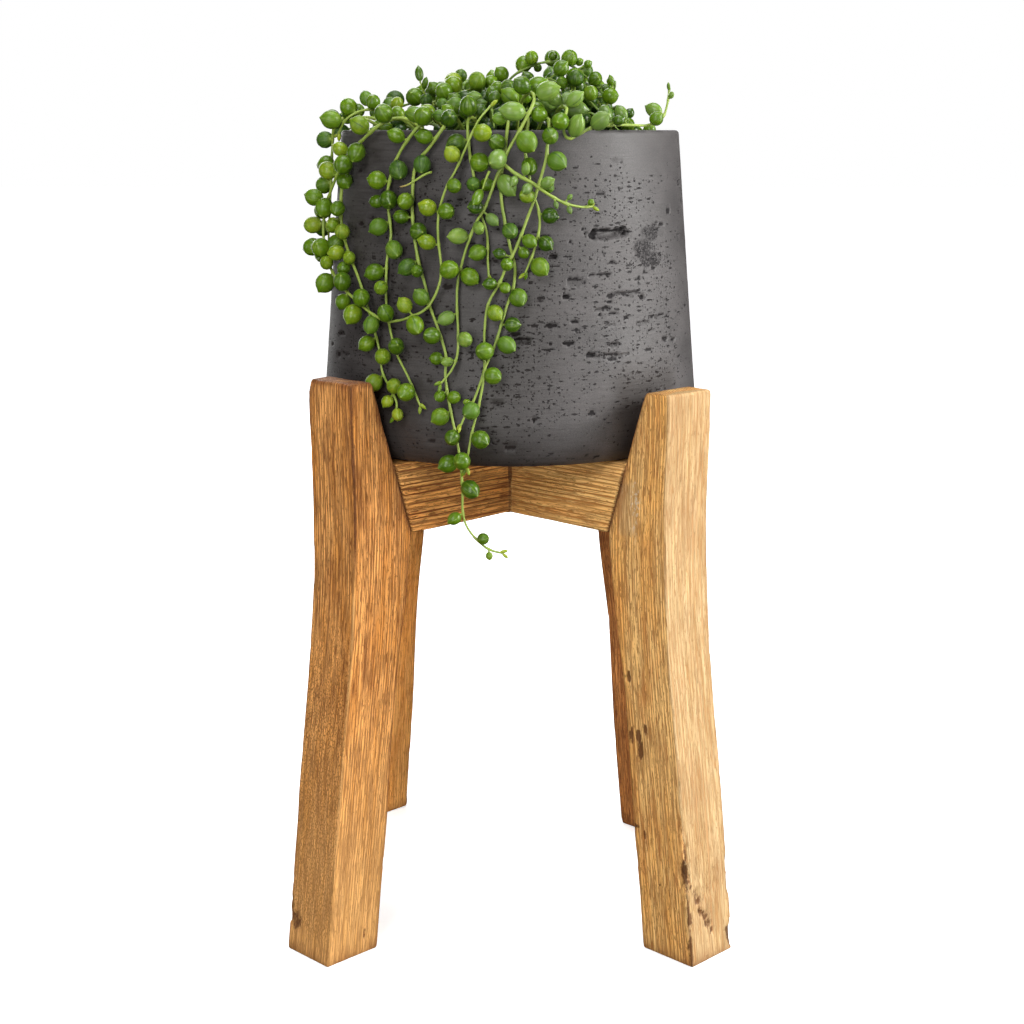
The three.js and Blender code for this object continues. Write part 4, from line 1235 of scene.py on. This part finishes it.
def build_routes(stem):
    azimuth, radius = stem["root"]
    root = [on_circle(azimuth, radius, soil_top(radius) + offset) for offset in (-ROOT_DEPTH, -3, 3)]
    main = Route(root + [on_circle(*point) for point in stem["route"]], stem["leaves"], ROOT_SPANS)
    if "branch" not in stem:
        return [main]
    branch = stem["branch"]
    fork = main.points[int(round((branch["from"] + ROOT_SPANS) * SAMPLES_PER_SPAN))]
    return [main, Route([fork] + [on_circle(*point) for point in branch["route"]], branch["leaves"])]


def clear_of_pot(point, size):
    radius = math.hypot(point[0], point[1])
    above_soil = point[2] > soil_top(radius) + size
    if point[2] > RIM_HEIGHT:
        nearest = min(max(radius, RIM_RADIUS - WALL), RIM_RADIUS)
        to_rim = math.hypot(radius - nearest, point[2] - RIM_HEIGHT)
        return to_rim > size and (radius > RIM_RADIUS or above_soil)
    wall = float(pot_radius(point[2]))
    if radius > RIM_RADIUS - WALL / 2:
        return radius > wall + size
    return radius < wall - WALL - size and above_soil


def clear_of_legs(point, size):
    for leg in LEGS:
        angle = math.radians(leg["azimuth"])
        outward = point[0] * math.cos(angle) + point[1] * math.sin(angle)
        sideways = point[1] * math.cos(angle) - point[0] * math.sin(angle)
        sway = 1 - point[2] / LEG_PIVOT_HEIGHT
        beside = abs(sideways - leg["lean"][1] * sway) > TIMBER / 2 + size
        inside = outward < notch_radius(point[2]) + leg["lean"][0] * sway - size
        if not (beside or inside or point[2] > leg["top"] + size):
            return False
    return True


BALL_LIMIT = 20000


class Placed:
    """Balls already in place: stems and leaves, each with the number of its stem."""

    def __init__(self):
        self.balls = np.zeros((BALL_LIMIT, 4))
        self.owners = np.zeros(BALL_LIMIT, int)
        self.count = 0

    def add(self, owner, point, size):
        self.balls[self.count] = (*point, size)
        self.owners[self.count] = owner
        self.count += 1

    def add_route(self, owner, route, size):
        for point in route.points:
            self.add(owner, point, size)

    def clear(self, point, size, skipped):
        balls = self.balls[:self.count]
        gaps = np.linalg.norm(balls[:, :3] - point, axis=1) - balls[:, 3] - size
        return not np.any((gaps <= 0) & (self.owners[:self.count] != skipped))


def leaf_at(route, place, turn, lift, size, petiole=PETIOLE):
    point, tangent = route.at(place)
    away = unit(np.array([0, 0, 1.0] if point[2] > RIM_HEIGHT else [point[0], point[1], 0]))
    away = unit(away - tangent * (away @ tangent))
    axis = unit(away * math.cos(turn) + np.cross(tangent, away) * math.sin(turn) + tangent * lift)
    centre = point + axis * (petiole + size)
    return {"root": point, "axis": axis, "centre": centre, "size": size, "petiole": petiole, "place": place}


def leaf_clear(leaf, skipped, placed, gap=LEAF_GAP):
    tip = leaf["root"] + leaf["axis"] * (leaf["petiole"] + LEAF_LENGTH * leaf["size"])
    balls = (leaf["centre"], leaf["size"] + gap), (tip, 0.2 * leaf["size"] + gap)
    return all(
        clear_of_pot(*ball) and clear_of_legs(*ball) and placed.clear(*ball, skipped) for ball in balls)


def grow_leaves(number, route, draw, placed):
    """The leaves that the part's solids show, drawn in the same order."""
    grown = []
    side = 1
    for start, stop, spacing, radius in route.leaves:
        place = route.length_at(start)
        end = min(route.length_at(stop), route.length - TIP_MARGIN)
        while place <= end:
            size = radius * draw(*LEAF_SIZES)
            jitter = math.radians(draw(-LEAF_JITTER, LEAF_JITTER))
            lift = draw(*LEAF_LIFTS)
            shift = LEAF_SHIFT * draw()
            for turn in LEAF_TURNS:
                leaf = leaf_at(route, place + shift, side * math.radians(turn) + jitter, lift, size)
                if leaf_clear(leaf, number, placed):
                    grown.append(leaf)
                    placed.add(number, leaf["centre"], size)
                    break
            side = -side
            place += LEAF_SPREAD * spacing
    return grown


# The box of the solids, which every leaf stays inside.
BOX_LOW = (np.array(cad_low) - pot_axis) * METRE
BOX_HIGH = (np.array(cad_high) - pot_axis) * METRE
BOX_MARGIN = 0.15
# The leaves added between those of the solids keep this gap to each other and to all stems.
FILL_GAP = 0.05
NO_STEM = -1
# Where they start and stop along a route, the tries for each, the longest petiole and the steps.
CROWN_FILL = (0.5, 1.0, 3, 4.5, (2.6, 5.2))
TRAILING_FILL = (1, 0.74, 2, 2.6, (3.6, 9.0))


def inside_box(leaf):
    reach = LEAF_LENGTH * leaf["size"] - leaf["size"]
    return np.all(leaf["centre"] - reach > BOX_LOW) and np.all(leaf["centre"] + reach < BOX_HIGH)


def fill_leaves(number, route, draw, placed, crown):
    """More leaves between those of the solids, wherever there is room for one."""
    first, reach, tries, longest, steps = CROWN_FILL if crown else TRAILING_FILL
    grown = []
    place = route.length_at(first) if route.offset else 4.0
    sizes = [radius for *_, radius in route.leaves]
    while place < route.length * reach - 1:
        typical = sizes[min(len(sizes) - 1, int(place / route.length * len(sizes)))]
        for _ in range(tries):
            size = typical * draw(0.74, 1.04)
            petiole = draw(1.2, longest)
            leaf = leaf_at(route, place, math.radians(draw(-120, 120)), draw(-0.3, 0.8), size, petiole)
            if inside_box(leaf) and leaf_clear(leaf, NO_STEM, placed, FILL_GAP):
                grown.append(leaf)
                placed.add(number, leaf["centre"], size)
                break
        place += draw(*steps)
    return grown


# Short sprigs that fill the crown out to its domed outline, and how high each of their points lies.
SPRIG_COUNT = 34
SPRIG_SEED = 515
SPRIG_RADIUS = 0.7
SPRIG_REACH = 66
SPRIG_RISE = (-0.2, 0.45, 0.9, 1.0, 0.95, 0.85)
CROWN_OUTLINE_X = (-78, -60, -44, -22, -5, 6, 26, 41, 56, 72)
CROWN_OUTLINE_Z = (404, 410, 421, 424, 427, 432, 434, 428, 416, 405)


def crown_limit(x, y):
    """The height that the crown's leaves reach over a spot, lower towards the pot's edge."""
    fall = 1 - 0.5 * smooth_step(35, 85, math.hypot(x, y))
    top = float(np.interp(x, CROWN_OUTLINE_X, CROWN_OUTLINE_Z))
    return SOIL_CROWN + (top - SOIL_CROWN) * fall


def sprig_route(draw):
    """A short stem that rises from the soil, turns over below the crown's outline and runs outward."""
    azimuth, radius = draw(-180, 180), SPRIG_REACH * math.sqrt(draw(0.02, 1))
    heading = math.radians(azimuth + draw(-80, 80))
    root = on_circle(azimuth, radius, 0)
    step = np.array([math.sin(heading), -math.cos(heading), 0]) * draw(7, 11)
    drop = draw(6, 15)
    points = []
    for count, share in enumerate(SPRIG_RISE):
        x, y, _ = root + step * max(0, count - 0.7) * 0.8
        base = soil_top(math.hypot(x, y))
        lift = max(5, crown_limit(x, y) - drop - base)
        points.append(np.array([x, y, base + share * lift]))
    return points


def grow_sprigs():
    draw = Draw(SPRIG_SEED)
    routes = []
    while len(routes) < SPRIG_COUNT:
        points = sprig_route(draw)
        inside = [math.hypot(x, y) < RIM_RADIUS - WALL - 1 for x, y, _ in points]
        above = [z > RIM_HEIGHT + 3 for *_, z in points]
        if np.all(np.logical_or(inside, above)):
            routes.append(Route(points, [(0.8, 5, 6, draw(3.2, 4.6))]))
    return routes


LEAF_COLUMNS = 14
# How far round from its base to its tip each ring of a leaf's body stands.
LEAF_ANGLES = np.radians([12, 28, 46, 66, 86, 106, 124, 140, 153, 164, 173])
# Leaves larger than this are drawn in by half of the rest.
LARGE_LEAF = 4.5
PETIOLE_RADIUS = 0.45
# How pale and how flat the long, lens-shaped leaves are, and their share on a stem that has them.
LENS_FADE = 0.34
LENS_FLAT = 0.82
LENS_SHARE = 0.75
# Which material each kind of face has.
LEAF_SKIN, STEM_SKIN = 0, 1


def leaf_template():
    """Rows from the root to the tip: place along the petiole and the body, radius of body and petiole."""
    petiole = [(0.0, 0.0, 0.0, 1.25), (0.35, 0.0, 0.0, 0.95), (0.85, 0.0, 0.0, 1.0)]
    body = []
    for angle in LEAF_ANGLES:
        pull = float(smooth_step(math.radians(152), math.radians(180), angle))
        body.append((1.0, 1 - math.cos(angle) + 0.2 * pull, math.sin(angle) * (1 - 0.5 * pull), 0.0))
    return np.array(petiole + body)


TEMPLATE = leaf_template()


def tip_buds(route, draw):
    """Two narrow young leaves at the growing end of a stem."""
    end = route.length - 0.4
    turn = draw(0, 2 * math.pi)
    return [
        leaf_at(route, end - 1.2 * count, turn + 2.6 * count, 1.9, draw(1.1, 1.4), 0.3) for count in range(2)
    ]


def square_to(axis):
    """Some direction that is square to an axis."""
    return np.cross(axis, (0, 0, 1.0) if abs(axis[2]) < 0.9 else (1.0, 0, 0))


def add_leaf(form, leaf, tone, draw, long, flat=1.0, faded=0.0):
    axis = leaf["axis"]
    size = leaf["size"] - 0.5 * max(0, leaf["size"] - LARGE_LEAF)
    first = unit(square_to(axis))
    second = np.cross(axis, first)
    turn = np.linspace(0, 2 * math.pi, LEAF_COLUMNS, endpoint=False)
    roll = draw(0, 2 * math.pi)
    flat = flat * draw(0.93, 1.0)
    slim = 1 - 0.6 * (long - 1)
    on_petiole = TEMPLATE[:, 3] > 0
    along = TEMPLATE[:, 0] * leaf["petiole"] + TEMPLATE[:, 1] * size * long
    radius = np.where(on_petiole, PETIOLE_RADIUS * TEMPLATE[:, 3], TEMPLATE[:, 2] * size * slim)
    across = np.cos(turn + roll)[None, :, None] * first * flat + np.sin(turn + roll)[None, :, None] * second
    rings = leaf["root"] + along[:, None, None] * axis + radius[:, None, None] * across
    points, faces = closed_rings(rings)
    points[-1] = leaf["root"] + axis * (leaf["petiole"] + LEAF_LENGTH * size * long)
    points = points - np.maximum(points.max(0) - BOX_HIGH + BOX_MARGIN, 0)
    points = points + np.maximum(BOX_LOW + BOX_MARGIN - points.min(0), 0)
    share = np.where(on_petiole, -0.2, TEMPLATE[:, 1] / LEAF_LENGTH)
    mapped = stacked(np.cos(turn), np.sin(turn), share[:, None]).reshape(-1, 3)
    mapped = np.concatenate([mapped, [(0, 0, -0.2), (0, 0, 1.0)]])
    shade = min(1, max(0, tone + draw(-0.29, 0.22)))
    form.add(points, faces, LEAF_SKIN, leaf=mapped, tone=shade, chance=draw(), faded=faded)


STEM_COLUMNS = 8
STEM_ROW_STEP = 1.5
STEM_TAPER = 0.42
SWELLING = 0.22
THICKEST = 1.45
# The tone and radius of stems in the crown and of trailing ones.
CROWN_TUBE = (0.35, 0.75)
TRAILING_TUBE = (0.72, 0.88)


def add_tube(form, points, radii, tone, faded=0.0):
    """A tube of stem along a line of points, its section carried along without twisting."""
    tangents = np.gradient(points, axis=0)
    tangents /= np.linalg.norm(tangents, axis=1)[:, None]
    side = square_to(tangents[0])
    turn = np.linspace(0, 2 * math.pi, STEM_COLUMNS, endpoint=False)
    rings = []
    for point, tangent, radius in zip(points, tangents, radii):
        side = unit(side - tangent * (side @ tangent))
        other = np.cross(tangent, side)
        rings.append(point + radius * (np.cos(turn)[:, None] * side + np.sin(turn)[:, None] * other))
    skin, faces = closed_rings(np.array(rings))
    form.add(skin, faces, STEM_SKIN, leaf=np.zeros((len(skin), 3)), tone=tone, chance=0, faded=faded)


def add_stem_tube(form, route, leaves, tone, thick):
    """The stem itself: thin, tapering to its tip, a little swollen where each leaf leaves it."""
    places = np.arange(0, route.length, STEM_ROW_STEP)
    points = np.array([route.at(place)[0] for place in places] + [route.points[-1]])
    radii = thick * (1 - STEM_TAPER * np.append(places, route.length) / route.length)
    for leaf in leaves:
        nearest = np.linalg.norm(points - leaf["root"], axis=1)
        radii = radii + SWELLING * np.exp(-(nearest / STEM_RADIUS) ** 2)
    radii[-1] *= 0.5
    add_tube(form, points, np.minimum(radii, THICKEST), tone)


# Small extra growth: azimuth, distance and height of each point, whether its end has dried up, and
# its leaves: place as a share of its length, turn and radius.
SHOOT_RADIUS = 0.6
SHOOT_RINGS = 14
SHOOT_TONE = 0.8
SHOOTS = {
    "stem_longest": ([(-22.8, 92.5, 381.5), (-24.3, 95.2, 380.3), (-26.7, 96.8, 377.6), (-28.9, 97.0, 375.7),
                      (-31.2, 97.2, 374.8)], True, []),
    "stem_pale": ([(-5.6, 95.2, 382), (-6.4, 97.2, 378.5), (-7.2, 98.4, 374)], False, [(1.0, 0.2, 3.5)]),
    "stem_crown_6": ([(-62, 42, 412), (-64, 46, 417), (-63, 49, 423)], False,
                     [(1.0, 0.5, 2.7), (0.7, -1.1, 2.3)]),
    "stem_crown_9": ([(66, 50, 409), (68, 52, 414), (69, 54, 421)], False,
                     [(1.0, 0.2, 1.9), (0.7, 1.0, 1.5)]),
}


def add_shoot(form, points, dry, leaves, tone, draw):
    route = Route([on_circle(*point) for point in points])
    places = np.linspace(0, route.length, SHOOT_RINGS)
    spots = np.array([route.at(place)[0] for place in places])
    radii = np.linspace(SHOOT_RADIUS, SHOOT_RADIUS * 0.6, SHOOT_RINGS)
    dryness = dry * smooth_step(7, 13, np.arange(float(SHOOT_RINGS)))
    faded = 0.8 * np.concatenate([np.repeat(dryness, STEM_COLUMNS), [0, dry]])
    add_tube(form, spots, radii, SHOOT_TONE, faded)
    for share, turn, size in leaves:
        leaf = leaf_at(route, share * route.length, turn, 1.4, size, 0.6)
        add_leaf(form, leaf, tone + 0.2, draw, 1.35, 0.8)


def leaf_youth_and_painted_shade(leaf, route, crown):
    """How much paler a leaf is at the growing end of a trailing stem; in the crown, painted light and shade
    instead: paler at its surface and darker deep inside it, where shade falls.
    """
    if not crown:
        return 0.2 * float(smooth_step(0.85, 1.0, leaf["place"] / route.length)) - 0.06
    x, y, z = leaf["centre"]
    # Painted light and shade: lighter at the crown's surface, darker deep inside it.
    return 0.20 - 0.66 * float(smooth_step(2, 14, crown_limit(x, y) - z))


def merged(leaf, other):
    """Whether a leaf is sunk deep into another one that isn't smaller."""
    if other is leaf or other["size"] < leaf["size"]:
        return False
    return np.linalg.norm(leaf["centre"] - other["centre"]) < other["size"] + 0.25 * leaf["size"]


def without_merged(grown):
    """The leaves of a stem, route by route, without those that are sunk deep into a bigger one."""
    listed = [leaf for leaves in grown for leaf in leaves]
    return [[leaf for leaf in leaves if not any(merged(leaf, other) for other in listed)] for leaves in grown]


PLANT_SEED = 9000
PLANT_SEED_STEP = 131


def is_crown(stem):
    return stem["name"].startswith("stem_crown")


def grow_plant(placed):
    """The routes of each stem with their leaves: those of the solids first, then the crown's sprigs."""
    plants = [[[route, []] for route in build_routes(stem)] for stem in STEMS]
    for number, routes in enumerate(plants):
        for route, _ in routes:
            placed.add_route(number, route, STEM_RADIUS)
    for number, routes in enumerate(plants):
        draw = Draw(FIRST_SEED + SEED_STEP * number)
        grown = [grow_leaves(number, route, draw, placed) for route, _ in routes]
        for entry, leaves in zip(routes, without_merged(grown)):
            entry[1] = leaves
    crown_numbers = [number for number, stem in enumerate(STEMS) if is_crown(stem)]
    for index, sprig in enumerate(grow_sprigs()):
        number = crown_numbers[index % len(crown_numbers)]
        plants[number].append([sprig, []])
        placed.add_route(number, sprig, SPRIG_RADIUS)
    return plants


def add_route(form, stem, number, route, leaves, draw, placed):
    crown = is_crown(stem)
    leaves = leaves + fill_leaves(number, route, draw, placed, crown)
    add_stem_tube(form, route, leaves, *(CROWN_TUBE if crown else TRAILING_TUBE))
    for leaf in leaves:
        tone = stem["tone"] + leaf_youth_and_painted_shade(leaf, route, crown)
        if "long" in stem and draw() < LENS_SHARE:
            add_leaf(form, leaf, tone, draw, stem["long"], LENS_FLAT, LENS_FADE)
        else:
            add_leaf(form, leaf, tone, draw, 1.0 if crown else 1.0 + 0.1 * draw())
    if not crown:
        for leaf in tip_buds(route, draw):
            if leaf_clear(leaf, number, placed, FILL_GAP):
                add_leaf(form, leaf, 0.85, draw, 1.5, 0.8)


def add_plant(leaf_skin, stem_skin):
    placed = Placed()
    for number, (stem, routes) in enumerate(zip(STEMS, grow_plant(placed))):
        draw = Draw(PLANT_SEED + PLANT_SEED_STEP * number)
        form = Form()
        for route, leaves in routes:
            add_route(form, stem, number, route, leaves, draw, placed)
        if stem["name"] in SHOOTS:
            add_shoot(form, *SHOOTS[stem["name"]], stem["tone"], draw)
        add_piece(stem["name"] + "_pearls", form, [leaf_skin, stem_skin], [stem["name"]])


# Studio, in metres

CAMERA_DISTANCE = 0.907
CAMERA_HEIGHT = 0.400
CAMERA_SIDE = 0.001
CAMERA_PITCH = math.radians(12.19)
CAMERA_LENS = 62.05
SENSOR_WIDTH = 36.0
FLOOR_REACH = 12.0
LIGHT_TARGET = (0, 0, 0.27)
WARM = (1.0, 0.985, 0.96)
WARMER = (1.0, 0.985, 0.95)
WHITE = (1.0, 1.0, 1.0)
# Each light: name, place, size, power and colour. All point at the pot's lower wall.
LIGHTS = (
    ("key", (1.4, -0.34, 0.84), 0.6, 25, WARM),
    ("side", (1.4, -0.16, 0.14), 0.7, 10.5, WARM),
    ("front", (-0.34, -1.3, 0.95), 0.5, 10.2, WHITE),
    ("overhead", (0.1, -0.15, 1.9), 1.3, 25, WHITE),
    ("rear", (-0.3, 1.4, 0.9), 1.2, 13, WHITE),
    ("rear_left", (-0.7, 1.3, 0.35), 0.9, 4, (1.0, 0.99, 0.97)),
    ("left", (-1.5, -0.5, 0.45), 0.9, 4, WHITE),
    ("low_left", (-0.42, -1.38, 0.1), 0.8, 11, WARMER),
    ("low_right", (0.62, -1.32, 0.12), 0.7, 5.8, WARMER),
)


def add_camera():
    data = configured(
        bpy.data.cameras.new("camera"), lens=CAMERA_LENS, sensor_width=SENSOR_WIDTH, clip_start=0.01,
        clip_end=50.0)
    bpy.context.scene.camera = configured(
        link("camera", data), location=(CAMERA_SIDE, pot_axis[1] - CAMERA_DISTANCE, CAMERA_HEIGHT),
        rotation_euler=(QUARTER - CAMERA_PITCH, 0, 0))


def add_light(name, place, size, power, colour):
    data = configured(bpy.data.lights.new(name, "AREA"), shape="DISK", size=size, energy=power, color=colour)
    aim = (Vector(LIGHT_TARGET) - Vector(place)).to_track_quat("-Z", "Y").to_euler()
    configured(link(name, data), location=place, rotation_euler=aim)


def add_world():
    """A white surround that is only a backdrop: the lights alone light the piece."""
    world = bpy.data.worlds.new("studio")
    bpy.context.scene.world = world
    world.use_nodes = True
    background = world.node_tree.nodes["Background"]
    background.inputs["Color"].default_value = (1.0, 1.0, 1.0, 1)
    background.inputs["Strength"].default_value = 1.0
    configured(world.cycles_visibility, diffuse=False, glossy=False)


def add_floor():
    mesh = bpy.data.meshes.new("floor")
    corners = [(FLOOR_REACH * x, FLOOR_REACH * y, 0) for x, y in ((-1, -1), (1, -1), (1, 1), (-1, 1))]
    mesh.from_pydata(corners, [], [(0, 1, 2, 3)])
    mesh.materials.append(floor_material())
    floor = configured(link("floor", mesh), visible_diffuse=False, visible_glossy=False)


add_camera()
add_world()
add_floor()
for light in LIGHTS:
    add_light(*light)
configured(bpy.context.scene.view_settings, view_transform="Standard", look="None")

woods = {name: wood_material(name) for name in TIMBERS}
for leg in LEGS:
    add_leg(leg, woods[leg["wood"]])
add_rail("rail_front_left", 225, True, 0.1, woods["warm_rail"], 53)
add_rail("rail_front_right", 315, False, 0.5, woods["pale_rail"], 61)
add_pot(concrete_material())
add_soil(soil_material())
add_plant(leaf_material(), stem_material())
